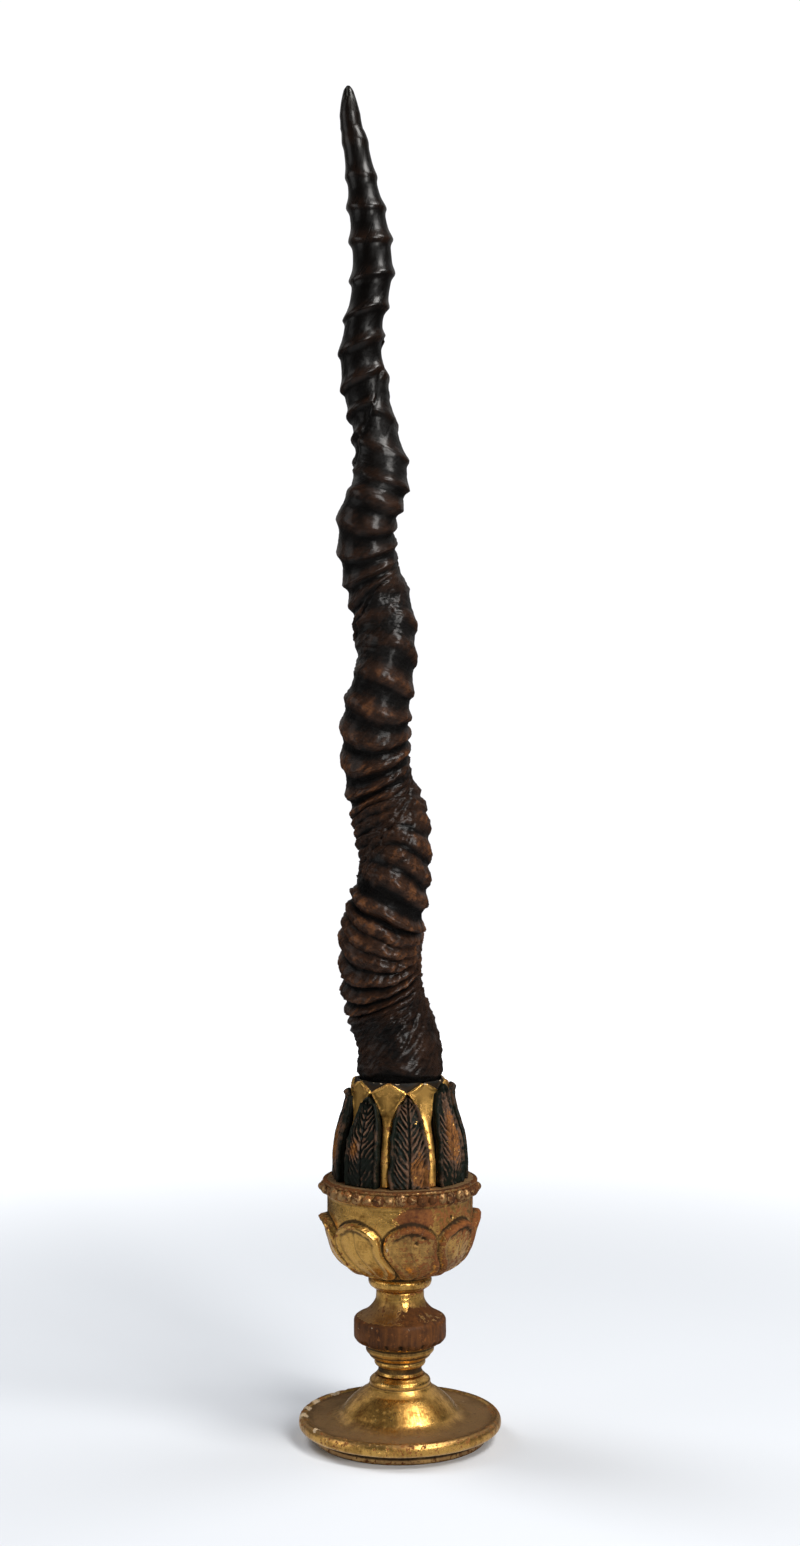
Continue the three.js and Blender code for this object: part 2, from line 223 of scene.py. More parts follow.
class Nodes:
    """Adds nodes to one tree."""

    def __init__(self, tree):
        self.tree = tree

    def node(self, kind, settings=None, inputs=None):
        """One node: its settings first, then the values or links of its sockets. Returns its outputs."""
        node = self.tree.nodes.new(kind)
        for name, value in (settings or {}).items():
            if name == "curve":
                self.set_curve(node.mapping, value)
            else:
                setattr(node, name, value)
        for key, value in (inputs or {}).items():
            feed(self.tree, socket_of(node.inputs, key), value)
        return lambda key=0: Wire(self.tree, socket_of(node.outputs, key))

    def set_curve(self, mapping, points):
        line = mapping.curves[0].points
        while len(line) < len(points):
            line.new(1, 1)
        for point, (x, y) in zip(line, points):
            point.location = (x, y)
            point.handle_type = "AUTO"
        mapping.update()

    def rescale(self, value, low, high, new_low=0.0, new_high=1.0, smooth=False):
        """Value carried from low..high to new_low..new_high, held at both ends."""
        settings = {"interpolation_type": "SMOOTHSTEP" if smooth else "LINEAR"}
        ends = {"Value": value, "From Min": low, "From Max": high, "To Min": new_low, "To Max": new_high}
        return self.node("ShaderNodeMapRange", settings, ends)("Result")

    def along(self, height, pairs):
        """Value at a height, read from (height, value) pairs joined by a smooth curve."""
        heights = [h for h, _ in pairs]
        values = [v for _, v in pairs]
        first, last = heights[0], heights[-1]
        low, high = min(values), max(values)
        points = [((h - first) / (last - first), (v - low) / (high - low)) for h, v in pairs]
        share = self.rescale(height, first, last)
        read = self.node("ShaderNodeFloatCurve", {"curve": points}, {"Value": share})(0)
        return read * (high - low) + low

    def vector(self, x, y, z):
        return self.node("ShaderNodeCombineXYZ", None, {"X": x, "Y": y, "Z": z})(0)

    def parts(self, vector):
        split = self.node("ShaderNodeSeparateXYZ", None, {0: vector})
        return split("X"), split("Y"), split("Z")

    def stretch(self, vector, scale):
        settings = {"operation": "MULTIPLY"}
        return self.node("ShaderNodeVectorMath", settings, {0: vector, 1: scale})(0)

    def shift(self, vector, other):
        return self.node("ShaderNodeVectorMath", {"operation": "ADD"}, {0: vector, 1: other})(0)

    def cloud(self, vector, scale=1.0, detail=2.0, roughness=0.5, distortion=0.0):
        """Fractal noise from 0 to 1. Its scale is one number, or one for each axis."""
        if isinstance(scale, tuple):
            vector, scale = self.stretch(vector, scale), 1.0
        inputs = {
            "Vector": vector, "Scale": scale, "Detail": detail,
            "Roughness": roughness, "Distortion": distortion,
        }
        return self.node("ShaderNodeTexNoise", None, inputs)(0)

    def blend(self, share, first, second):
        """Colour that goes from first to second as share goes from 0 to 1."""
        inputs = {"Factor": share, "A": first, "B": second}
        return self.node("ShaderNodeMix", {"data_type": "RGBA"}, inputs)("Result")

    def position(self):
        return self.node("GeometryNodeInputPosition")(0)

    def geometry(self, kind, inputs, settings=None, output="Geometry"):
        """What one Geometry Nodes node makes."""
        return self.node("GeometryNode" + kind, settings, inputs)(output)

    def keep(self, geometry, values, kind="FLOAT", domain="POINT"):
        """The geometry, with each value kept on it under its name for the finish to read."""
        for label, value in values.items():
            inputs = {"Geometry": geometry, "Name": label, "Value": value}
            geometry = self.geometry("StoreNamedAttribute", inputs, {"data_type": kind, "domain": domain})
        return geometry

    def move(self, geometry, millimetres):
        """The geometry with its points at the given places, now in metres."""
        metres = self.stretch(millimetres, (MM, MM, MM))
        return self.geometry("SetPosition", {"Geometry": geometry, "Position": metres})


def rule_tree(name, inputs):
    """An empty Geometry Nodes tree with named inputs, each given by its usual value or its kind.

    Returns the tree's builder and the inputs as Wires.
    """
    tree = bpy.data.node_groups.new(name, "GeometryNodeTree")
    for label, value in inputs.items():
        kind = value if isinstance(value, str) else SOCKET_KINDS[type(value)]
        socket = tree.interface.new_socket(name=label, in_out="INPUT", socket_type=kind)
        if kind != value:
            socket.default_value = value
    tree.interface.new_socket(name="Geometry", in_out="OUTPUT", socket_type=GEOMETRY)
    nodes = Nodes(tree)
    given = nodes.node("NodeGroupInput")
    return nodes, {label: given(label) for label in inputs}


def close_tree(nodes, geometry, material):
    """Ends a tree in Realize Instances, smooth shading and Set Material."""
    real = nodes.geometry("RealizeInstances", {"Geometry": geometry})
    smooth = nodes.geometry("SetShadeSmooth", {"Geometry": real})
    painted = nodes.geometry("SetMaterial", {"Geometry": smooth, "Material": material})
    nodes.node("NodeGroupOutput", None, {"Geometry": painted})
    return nodes.tree


def grow(name, tree, values, mesh=None):
    """The plain mesh object that a tree makes, from nothing or from the given mesh."""
    start = mesh or bpy.data.meshes.new(name)
    piece = bpy.data.objects.new(name, start)
    bpy.context.scene.collection.objects.link(piece)
    modifier = piece.modifiers.new("Rule", "NODES")
    modifier.node_group = tree
    sockets = {s.name: s.identifier for s in tree.interface.items_tree if s.in_out == "INPUT"}
    for label, value in values.items():
        modifier[sockets[label]] = value
    graph = bpy.context.evaluated_depsgraph_get()
    seen = piece.evaluated_get(graph)
    plain = bpy.data.meshes.new_from_object(seen, preserve_all_data_layers=True, depsgraph=graph)
    piece.modifiers.remove(modifier)
    piece.data = plain
    plain.name = name
    bpy.data.meshes.remove(start)
    return piece


def hand_over(piece, node):
    """Lets a finished piece stand for its CAD node."""
    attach(piece, "root")
    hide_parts(node)


# ---------------------------------------------------------------- horn


def spiral_azimuth_pairs():
    """Azimuth, in degrees, of the side that the corkscrew leans to. Every station is half a turn on."""
    first = (BUTT_Z, -180 * (HALF_TURNS[0] - BUTT_Z) / (HALF_TURNS[1] - HALF_TURNS[0]))
    return [first] + [(height, 180 * i) for i, height in enumerate(HALF_TURNS)]


def horn_tree():
    """A cylinder, ringed, grooved, creased, tilted and wound. It works in millimetres up to its end."""
    nodes, given = rule_tree("Spiral horn", {
        "Columns": 150, "Rows": 640, "Butt Height": BUTT_Z, "Edge Height": EDGE_Z, "Tip Height": TIP_Z,
        "Plug Radius": PLUG_RADIUS, "Ring Relief": 1.0, "Winding": 1.0, "Wrinkles": 1.0,
        "Material": MATERIAL,
    })
    sizes = {"Vertices": given["Columns"], "Side Segments": given["Rows"], "Radius": 1.0, "Depth": 1.0}
    blank = nodes.geometry("MeshCylinder", sizes, {"fill_type": "TRIANGLE_FAN"}, "Mesh")
    x, y, z = nodes.parts(nodes.position())
    rim = (x * x + y * y).sqrt()
    angle = y.turned_to(x)
    share = z + 0.5
    hidden_share = 0.02
    below = nodes.rescale(share, 0.0, hidden_share)
    above = nodes.rescale(share, hidden_share, 1.0)
    height = (
        given["Butt Height"]
        + below * (given["Edge Height"] - given["Butt Height"])
        + above * (given["Tip Height"] - given["Edge Height"])
    )
    seen = nodes.rescale(height, EDGE_Z - 1.5, EDGE_Z + 1.0, smooth=True)

    spiral = nodes.along(height, spiral_azimuth_pairs()) * DEGREE
    untwisted = angle - spiral
    radius = nodes.along(height, HORN_RADIUS)
    grain = nodes.vector(radius * untwisted.cos(), radius * untwisted.sin(), height)
    place = nodes.vector(radius * angle.cos(), radius * angle.sin(), height)

    # Groove and crease
    wander = (nodes.cloud(nodes.vector(0.0, 0.0, height * 0.06)) - 0.5) * 0.25
    groove = untwisted - GROOVE_AZIMUTH * DEGREE
    towards = groove.cos().at_least(0.0)
    hollow = 1.0 - nodes.along(height, GROOVE_DEPTH) * towards * towards
    across = angle - nodes.along(height, CREASE_TURN) * DEGREE + wander
    off_crease = (1.0 - across.cos()) * 2.0 * radius * radius
    comes_and_goes = nodes.rescale(nodes.cloud(nodes.vector(0.0, 5.0, height * 0.05)), 0.36, 0.56)
    crease_depth = nodes.along(height, CREASE_DEPTH) * (0.25 + 0.75 * comes_and_goes)
    crease = (-(off_crease / CREASE_SPREAD)).exp() * crease_depth
    rolled_edge = (-(off_crease / ROLL_SPREAD)).exp() * crease_depth * 0.7

    # Rings run into the crease from one side and curl up it
    left = nodes.rescale(across.sin(), -0.02, 0.0, 1.0, 0.0)
    curl = nodes.along(height, RING_CURL) * (-(off_crease / CURL_SPREAD)).exp() * left
    sway = (nodes.cloud(place, (0.05, 0.05, 0.02)) - 0.5) * 5.0
    ring_height = height - curl + sway
    count = nodes.along(ring_height, [(h, i) for i, h in enumerate(RINGS)])
    offset = count - count.round()
    spacing = nodes.along(height, [(h, n - h) for h, n in zip(RINGS, RINGS[1:])])
    distance = offset * spacing
    is_above = distance > 0.0
    width = (
        nodes.along(height, RING_UPPER_WIDTH) * is_above
        + nodes.along(height, RING_LOWER_WIDTH) * (1.0 - is_above)
    )
    crest = (-((distance.size() / width) ** nodes.along(height, RING_FULLNESS))).exp()
    fading = nodes.rescale(height, 470, 540)
    calm = 1.0 - towards * towards * 0.7 * (1.0 - fading)
    uneven = 0.7 + 0.6 * nodes.cloud(place, (0.09, 0.09, 0.12))
    relief = nodes.along(height, RING_RELIEF) * calm * uneven * given["Ring Relief"]
    knurl = nodes.cloud(grain, (0.46, 0.46, 0.34), detail=1.0) - 0.5
    knurling = crest * knurl * nodes.along(height, KNURLING)
    beaded = crest * nodes.rescale(knurl, -0.12, 0.14, 0.3, 1.0)

    # Fine wrinkles follow the rings low down and in the groove, and others run with the twist
    level_lines = nodes.cloud(place, (0.06, 0.06, 0.6), 4.0, 0.6, 0.6)
    level_depth = nodes.along(height, WRINKLES)
    wrinkles = (level_lines - 0.5) * level_depth * (0.7 + towards * 0.8) * given["Wrinkles"]
    twisted_lines = nodes.cloud(grain, (0.38, 0.38, 0.035), 4.0, 0.6, 0.5)
    twisted_depth = nodes.along(height, TWISTED_WRINKLES)
    wrinkles = wrinkles + (twisted_lines - 0.5) * twisted_depth * given["Wrinkles"]
    lumps = (nodes.cloud(grain, (0.1, 0.1, 0.06)) - 0.5) * 0.9

    # The edge is ragged, and stands clear of the socket on one side
    fade_tip = nodes.rescale(height, 640, 540, 0.05, 1.0)
    carved = relief * (crest - 0.45) + knurling + wrinkles + (lumps * fade_tip) + rolled_edge - crease
    body = radius * hollow + carved
    ragged = (nodes.cloud(place, (0.22, 0.22, 0.0), detail=3.0) - 0.5) * 3.0
    from_gap = 1.0 - (angle - GAP_AZIMUTH * DEGREE).cos()
    ragged = ragged + (-(from_gap * 9.0)).exp() * 3.0
    final = rim * (given["Plug Radius"] * (1.0 - seen) + body * seen)
    level = height + ragged * nodes.rescale((height - EDGE_Z).size(), 8.0, 0.0)

    # Tilt to the rings' slope, then wind
    mean_turn = nodes.along(height, RING_TURN) * DEGREE
    upper = height > RING_TURN[0][0]
    high_side = (spiral - 90 * DEGREE) * (1.0 - upper) + mean_turn * upper
    slope = nodes.along(height, RING_SLOPE)
    tilted = level + slope * final * (angle - high_side).cos()
    free = nodes.rescale(height, EDGE_Z - 8, EDGE_Z + 6, smooth=True) * given["Winding"]
    winding = nodes.along(height, SPIRAL_RADIUS)
    centre_x = (MEAN_X + (height - EDGE_Z) * LEAN + winding * spiral.cos()) * free
    centre_y = winding * spiral.sin() * free
    wound = nodes.vector(final * angle.cos() + centre_x, final * angle.sin() + centre_y, tilted)

    # Values that the finish reads are kept before the points move
    stored = nodes.keep(blank, {
        "crest": beaded * nodes.rescale(relief, 0.0, 2.4) * nodes.rescale(height, 205, 232),
        # Below the edge, in the socket, the butt counts as fully hollow: painted shade in the gap round it.
        "hollow": nodes.rescale(carved, 0.0, -2.2).at_least(1.0 - seen),
        "low": nodes.rescale(height, 560, 240),
    })
    stored = nodes.keep(stored, {
        "grain": nodes.stretch(grain, (MM, MM, MM)),
        "place": nodes.stretch(place, (MM, MM, MM)),
    }, "FLOAT_VECTOR")
    return close_tree(nodes, nodes.move(stored, wound), given["Material"])


# ---------------------------------------------------------------- turned and carved pieces

# Radius of the tenons, of the holes that they stand in, and of the horn's socket
TENON = 7.7
HOLE = 8
CALYX_TENON = 12
CALYX_HOLE = 12.3
SOCKET = 20.8
SOCKET_FLOOR = 141  # its height
# How strongly a millimetre of hollow gathers dirt, and a millimetre of ridge wears
DIRT_IN_HOLLOWS = 4
WEAR_ON_RIDGES = 3
# Swellings and dents of hand work to the metre
SWELLINGS = 60.0
DENTS = 330.0


class Outline:
    """A profile of (radius, height) points in millimetres, drawn stroke by stroke from bottom to top."""

    def __init__(self, radius, height, step=0.6):
        self.points = [(radius, height)]
        self.step = step

    def line(self, radius, height):
        start = np.array(self.points[-1])
        end = np.array((radius, height), float)
        count = max(1, round(float(np.hypot(*(end - start))) / self.step))
        self.points += [tuple(start + (end - start) * i / count) for i in range(1, count + 1)]
        return self

    def jump(self, radius, height):
        """A straight stroke out of sight, with points only near its two ends."""
        start = np.array(self.points[-1], float)
        end = np.array((radius, height), float)
        near = (end - start) / np.hypot(*(end - start)) * self.step
        self.points += [tuple(start + near), tuple(end - near), tuple(end)]
        return self

    def curve(self, by_radius, by_height, radius, height):
        """A bend that sets out and arrives pointing at the middle point."""
        a, b, c = (np.array(p, float) for p in (self.points[-1], (by_radius, by_height), (radius, height)))
        length = np.hypot(*(b - a)) + np.hypot(*(c - b))
        count = max(2, round(float(length) / self.step))
        for i in range(1, count + 1):
            t = i / count
            self.points.append(tuple(a * (1 - t) ** 2 + b * 2 * t * (1 - t) + c * t ** 2))
        return self

    def bulge(self, radius, height, out):
        """A round moulding that stands out from the straight line to the next point."""
        a, b = np.array(self.points[-1], float), np.array((radius, height), float)
        side = np.array((b[1] - a[1], a[0] - b[0]))
        side = side / np.hypot(*side)
        count = max(4, round(float(np.hypot(*(b - a))) * 1.6 / self.step))
        for i in range(1, count + 1):
            t = i / count
            stands_out = out * math.sqrt(max(0, 1 - (2 * t - 1) ** 2))
            self.points.append(tuple(a + (b - a) * t + side * stands_out))
        return self

    def softened(self, times=2):
        """The points with their corners worn a little round. The two ends stay on the axis."""
        line = np.array(self.points, float)
        for _ in range(times):
            line[2:-2] = line[2:-2] * 0.5 + (line[1:-3] + line[3:-1]) * 0.25
        return line


def from_front(theta):
    """Degrees round from the front, from -180 to 180."""
    return (np.degrees(theta) - FRONT + 180) % 360 - 180


def round_sector(theta, first):
    """Signed degrees to the nearest of the eight azimuths that start at the given one."""
    return (np.degrees(theta) - first + SECTOR / 2) % SECTOR - SECTOR / 2


def step_up(value, low, high):
    """0 below low, 1 above high and smooth between them."""
    t = np.clip((value - low) / (high - low), 0, 1)
    return t * t * (3 - 2 * t)


def within(value, low, high, far_low, far_high):
    """1 inside a stretch of the value and 0 outside it, with a smooth ramp at either end."""
    return step_up(value, low, high) * (1 - step_up(value, far_low, far_high))


def bell(value, middle, width):
    """1 where the value is at the middle, and falling away over the width."""
    return np.exp(-((value - middle) / width) ** 2)


def read_off(height, pairs):
    """Value at each height, read from (height, value) pairs joined by straight lines."""
    return np.interp(height, [h for h, _ in pairs], [v for _, v in pairs])


def hollowness(radius):
    """How far each point lies below its neighbours, in millimetres. It is negative on edges and ridges."""
    level = radius.copy()
    for _ in range(8):
        level = (np.roll(level, 1, 1) + level * 2 + np.roll(level, -1, 1)) / 4
        level[1:-1] = (level[:-2] + level[1:-1] * 2 + level[2:]) / 4
    return level - radius


def turn_on_lathe(name, line, columns, rule):
    """Closed mesh round the axis. The rule gives how far each point moves out and up, and what it keeps."""
    theta = np.radians(LEAF_AZIMUTH) + np.arange(columns) * 2 * np.pi / columns
    ring_radius, ring_height = line[1:-1, 0], line[1:-1, 1]
    radius = np.repeat(ring_radius[:, None], columns, 1)
    height = np.repeat(ring_height[:, None], columns, 1)
    around = np.repeat(theta[None, :], len(ring_radius), 0)
    out, up, kept = rule(around, radius, height)
    radius, height = radius + out, height + up
    hollow = hollowness(radius)
    kept["deep"] = np.clip(kept["deep"] + hollow * DIRT_IN_HOLLOWS, 0, 1)
    kept["high"] = np.clip(kept["high"] - hollow * WEAR_ON_RIDGES, 0, 1)
    points = np.stack((radius * np.cos(around), radius * np.sin(around), height), -1).reshape(-1, 3)
    poles = np.array([(0, 0, line[0, 1]), (0, 0, line[-1, 1])])
    points = np.concatenate((points, poles)) * MM
    rows = len(ring_radius)
    column = np.arange(columns)
    following = (column + 1) % columns
    faces = []
    for row in range(rows - 1):
        low, high = row * columns, (row + 1) * columns
        faces += np.stack((low + column, low + following, high + following, high + column), -1).tolist()
    bottom, top, last = len(points) - 2, len(points) - 1, (rows - 1) * columns
    faces += [(bottom, f, c) for c, f in zip(column.tolist(), following.tolist())]
    faces += [(top, last + c, last + f) for c, f in zip(column.tolist(), following.tolist())]
    mesh = bpy.data.meshes.new(name)
    mesh.from_pydata(points, [], faces)
    for label, values in kept.items():
        full = np.concatenate((np.asarray(values, float).reshape(-1), (0.0, 0.0)))
        mesh.attributes.new(label, "FLOAT", "POINT").data.foreach_set("value", full.astype(np.float32))
    return mesh


HAND_WORK = {"Carving": GEOMETRY, "Swelling": 0.0002, "Dents": 0.0001, "Seed": 0.0, "Material": MATERIAL}


def hand_worn(nodes, given, geometry):
    """Swellings and dents of hand work, along the normals."""
    shifted = nodes.shift(nodes.position(), nodes.vector(given["Seed"], given["Seed"], given["Seed"]))
    swell = (nodes.cloud(shifted, SWELLINGS, 2.0) - 0.5) * 2.0 * given["Swelling"]
    dents = (nodes.cloud(shifted, DENTS, 3.0) - 0.5) * 2.0 * given["Dents"]
    inputs = {0: nodes.node("GeometryNodeInputNormal")(0), "Scale": swell + dents}
    offset = nodes.node("ShaderNodeVectorMath", {"operation": "SCALE"}, inputs)(0)
    return nodes.geometry("SetPosition", {"Geometry": geometry, "Offset": offset})


def worn_tree():
    """A carved piece with the unevenness of hand work."""
    nodes, given = rule_tree("Hand-worn wood", HAND_WORK)
    return close_tree(nodes, hand_worn(nodes, given, given["Carving"]), given["Material"])


def chance(nodes, low, high, seed):
    """A random number or vector for each point, between the two."""
    kind = "FLOAT_VECTOR" if isinstance(low, tuple) else "FLOAT"
    inputs = {"Min": low, "Max": high, "Seed": seed}
    return nodes.node("FunctionNodeRandomValue", {"data_type": kind}, inputs)("Value")


def bead_tree():
    """The hand-worn cup with its row of uneven beads under the rim."""
    beading = {"Beads": 44, "Row Radius": 0.0375, "Row Height": 0.1257, "Bead Radius": 0.0030}
    nodes, given = rule_tree("Beaded cup", HAND_WORK | beading)
    sizes = {"Vertices": given["Beads"], "Radius": given["Row Radius"]}
    row = nodes.geometry("MeshCircle", sizes, None, "Mesh")
    lift = nodes.vector(0.0, 0.0, given["Row Height"])
    raised = nodes.geometry("Transform", {"Geometry": row, "Translation": lift})
    sizes = {"Segments": 14, "Rings": 9, "Radius": given["Bead Radius"]}
    bead = nodes.geometry("MeshUVSphere", sizes, None, "Mesh")
    x, y, _ = nodes.parts(nodes.position())
    turn = nodes.vector(0.0, 0.0, y.turned_to(x))
    rotation = nodes.node("FunctionNodeEulerToRotation", None, {0: turn})(0)
    uneven = chance(nodes, (0.66, 0.82, 0.70), (1.08, 1.14, 1.10), 4)
    astray = chance(nodes, (-0.0004, -0.0004, -0.0004), (0.0004, 0.0004, 0.0004), 9)
    raised = nodes.geometry("SetPosition", {"Geometry": raised, "Offset": astray})
    # The beads on the left have kept more of their gold
    wear = chance(nodes, 0.25, 0.6, 6) + nodes.rescale(x, -0.034, 0.0, -0.12, 0.04)
    placing = {"Points": raised, "Instance": bead, "Rotation": rotation, "Scale": uneven}
    beads = nodes.geometry("InstanceOnPoints", placing, None, "Instances")
    beads = nodes.keep(beads, {"bare": wear}, domain="INSTANCE")
    real = nodes.geometry("RealizeInstances", {"Geometry": beads})
    real = nodes.keep(real, {"high": 0.5, "dull": 1.0, "bole": 0.1})
    both = nodes.geometry("JoinGeometry", {"Geometry": [real, given["Carving"]]})
    return close_tree(nodes, hand_worn(nodes, given, both), given["Material"])


# ---------------------------------------------------------------- foot and stem


def foot_line():
    """Recessed plinth, rolled edge, dished disc, bell and the two small rings over it."""
    line = Outline(0, 0).jump(42.6, 0).line(43, 0.4).line(43, 4.4).line(46.6, 5.0)
    line.curve(50.5, 5.6, 50.5, 8.6).curve(50.5, 11.4, 48.6, 12.1).curve(47.4, 12.4, 46.6, 11.3)
    line.curve(33.4, 9.9, 28.8, 14.7).curve(25.0, 19.8, 19.8, 23.5).curve(16.4, 25.2, 15.6, 27.0)
    line.line(14.9, 27.2).line(15.2, 28.0).curve(15.6, 29.8, 13.6, 30.9).curve(12.8, 31.4, 12.6, 32)
    return line.jump(HOLE, 32).jump(HOLE, 20).jump(0, 20).softened(1)


def stem_line():
    """Hollow, two rings, the flared knop with its broad band, and the neck."""
    line = Outline(0, 20.3).jump(TENON, 20.3).jump(TENON, 32.3).jump(12.2, 32.3)
    line.curve(9.8, 34.6, 11.4, 36.6).bulge(12.2, 39.6, 1.0).line(12.4, 40.3).bulge(15.4, 42.4, 0.7)
    line.curve(17.9, 44.0, 16.8, 46.2).line(17.3, 47.0).line(21.6, 49.0).line(23, 50.8).line(23, 59.2)
    line.curve(22.9, 60.6, 21.2, 61.2).curve(14.8, 63.8, 12.1, 69.6).line(11.8, 74.8)
    return line.jump(TENON, 74.8).jump(TENON, 86.8).jump(0, 86.8).softened(2)


def ripple(theta, waves):
    """A steady unevenness round the piece, from a few sine waves of (count, phase)."""
    return sum(np.sin(count * theta + phase) for count, phase in waves) / len(waves)


# Gesso chips on the foot's edge, in degrees round from the front: middle and half width
LOST_GESSO = [(-86, 4), (-101, 2.5), (-115, 3.5), (-135, 3), (-58, 2)]
# Waves round the edges of foot and knop that say where they are chipped: count and phase
FOOT_CHIPS = [(9, 1.1), (17, 0.4), (29, 2.2), (43, 0.8)]
KNOP_CHIPS = [(7, 0.3), (13, 1.9), (23, 0.2), (37, 2.6)]


def foot_rule(theta, radius, height):
    """Chips in the left of the edge, gesso laid bare there, and a dull and dirty disc and plinth."""
    edge = step_up(radius, 45.5, 49) * step_up(height, 9.5, 11.5)
    left = step_up(-np.cos(theta - np.radians(FRONT + 60)), 0.2, 0.9)
    chips = np.clip(ripple(theta, FOOT_CHIPS) - 0.25, 0, 1) * edge * left
    lost = sum(bell(from_front(theta), side, wide) for side, wide in LOST_GESSO)
    disc = within(radius, 27, 38, 45.5, 47) * step_up(height, 9, 10)
    plinth = step_up(5.4 - height, 0, 1.4)
    kept = {
        "high": edge + step_up(radius, 49.6, 50.4) * 0.5,
        "deep": plinth + disc * 0.22,
        "bare": chips * 0.9 + step_up(5.2 - height, 0, 0.6) * 0.36,
        "dull": np.clip(disc + edge * 0.6 + plinth * 0.8, 0, 1),
        "gesso": lost * within(radius, 45.2, 46.4, 49.6, 50.4) * step_up(height, 7.5, 9) * 0.5,
        "bole": -0.13 * step_up(height, 11.6, 14.0),
    }
    return -1.6 * chips, -0.9 * chips, kept


def stem_rule(theta, radius, height):
    """Bare wood on the knop, chips under it, a scrap of bright leaf over it, and painted shade in the
    hollows.
    """
    band = within(height, 47.6, 48.6, 60.2, 61.4) * step_up(radius, 20, 22)
    under = within(height, 46.9, 48.6, 50.4, 51.6) * step_up(radius, 18.5, 21)
    chips = np.clip(ripple(theta, KNOP_CHIPS) + 0.1, 0, 1) * under
    slope = within(height, 60.4, 61.2, 65.5, 71.5)
    right = step_up(np.cos(theta - np.radians(FRONT + 75)), -0.35, 0.75)
    # The scrap comes to a point, just right of the front
    reach = np.clip((height - 66.0) / 5.8, 0, 1) * 15 + 1
    scrap = 1 - step_up(np.abs(from_front(theta) - 12) - reach, -1.5, 1.5)
    scrap = scrap * within(height, 65.8, 66.6, 71.4, 72.2)
    neck = within(height, 33.2, 34.4, 37.0, 38.4)
    groove = within(height, 38.9, 39.5, 40.4, 41.0)
    dish = within(height, 41.9, 42.7, 45.2, 46.0)
    joint = step_up(0.9 - np.abs(height - 46.8), 0, 0.9)
    kept = {
        "high": step_up(radius, 16, 18) * (1 - step_up(height, 46.4, 47)),
        # Painted shade: the coves of neck, groove and dish and the corner under the knop are darkened, and
        # the dish loses its red bole.
        "deep": (neck + groove) * 0.95 + dish + joint * 0.7,
        "bare": np.clip(band + under + slope * (0.37 + 0.22 * right) - scrap * 1.4, 0, 1),
        "dull": slope * 0.6 * (1 - scrap),
        "bole": -0.12 * dish,
        "clean": scrap * 0.5,
    }
    return -1.7 * chips + scrap * 0.15, 1.1 * chips, kept


# ---------------------------------------------------------------- cup

# Half width of a lower leaf in degrees round the cup, by height
LOWER_LEAF = [
    (82.5, 15), (85, 20), (89, 22.2), (94, 22.4), (100, 22.4), (104, 22.0), (107.5, 19.8), (110, 15.5),
    (112, 9.5), (113.2, 3.5), (113.6, 0.0),
]
WORMHOLES = [(44.2, 115.6), (12.4, 105.0), (17.5, 107.6)]  # degrees round from the front, and height


def cup_line():
    """Collar, bowl, wall, the round band behind the beads, and the flat top round the calyx."""
    line = Outline(0, 87.1, 0.55).jump(HOLE, 87.1).jump(HOLE, 75.1).jump(13.2, 75.1).line(13.6, 76.0)
    line.bulge(14.6, 81.2, 1.7).line(14.3, 82.2).line(16.0, 82.8).curve(26, 84.3, 31.4, 92.6)
    line.curve(35.8, 100.6, 36.3, 113).line(36.3, 121.6).line(36.9, 122.4).bulge(37.6, 128.0, 0.9)
    line.line(38.7, 128.7).line(38.7, 129.4).line(38.1, 130).line(30, 130)
    return line.jump(CALYX_HOLE, 130).jump(CALYX_HOLE, 118).jump(0, 118).softened(1)


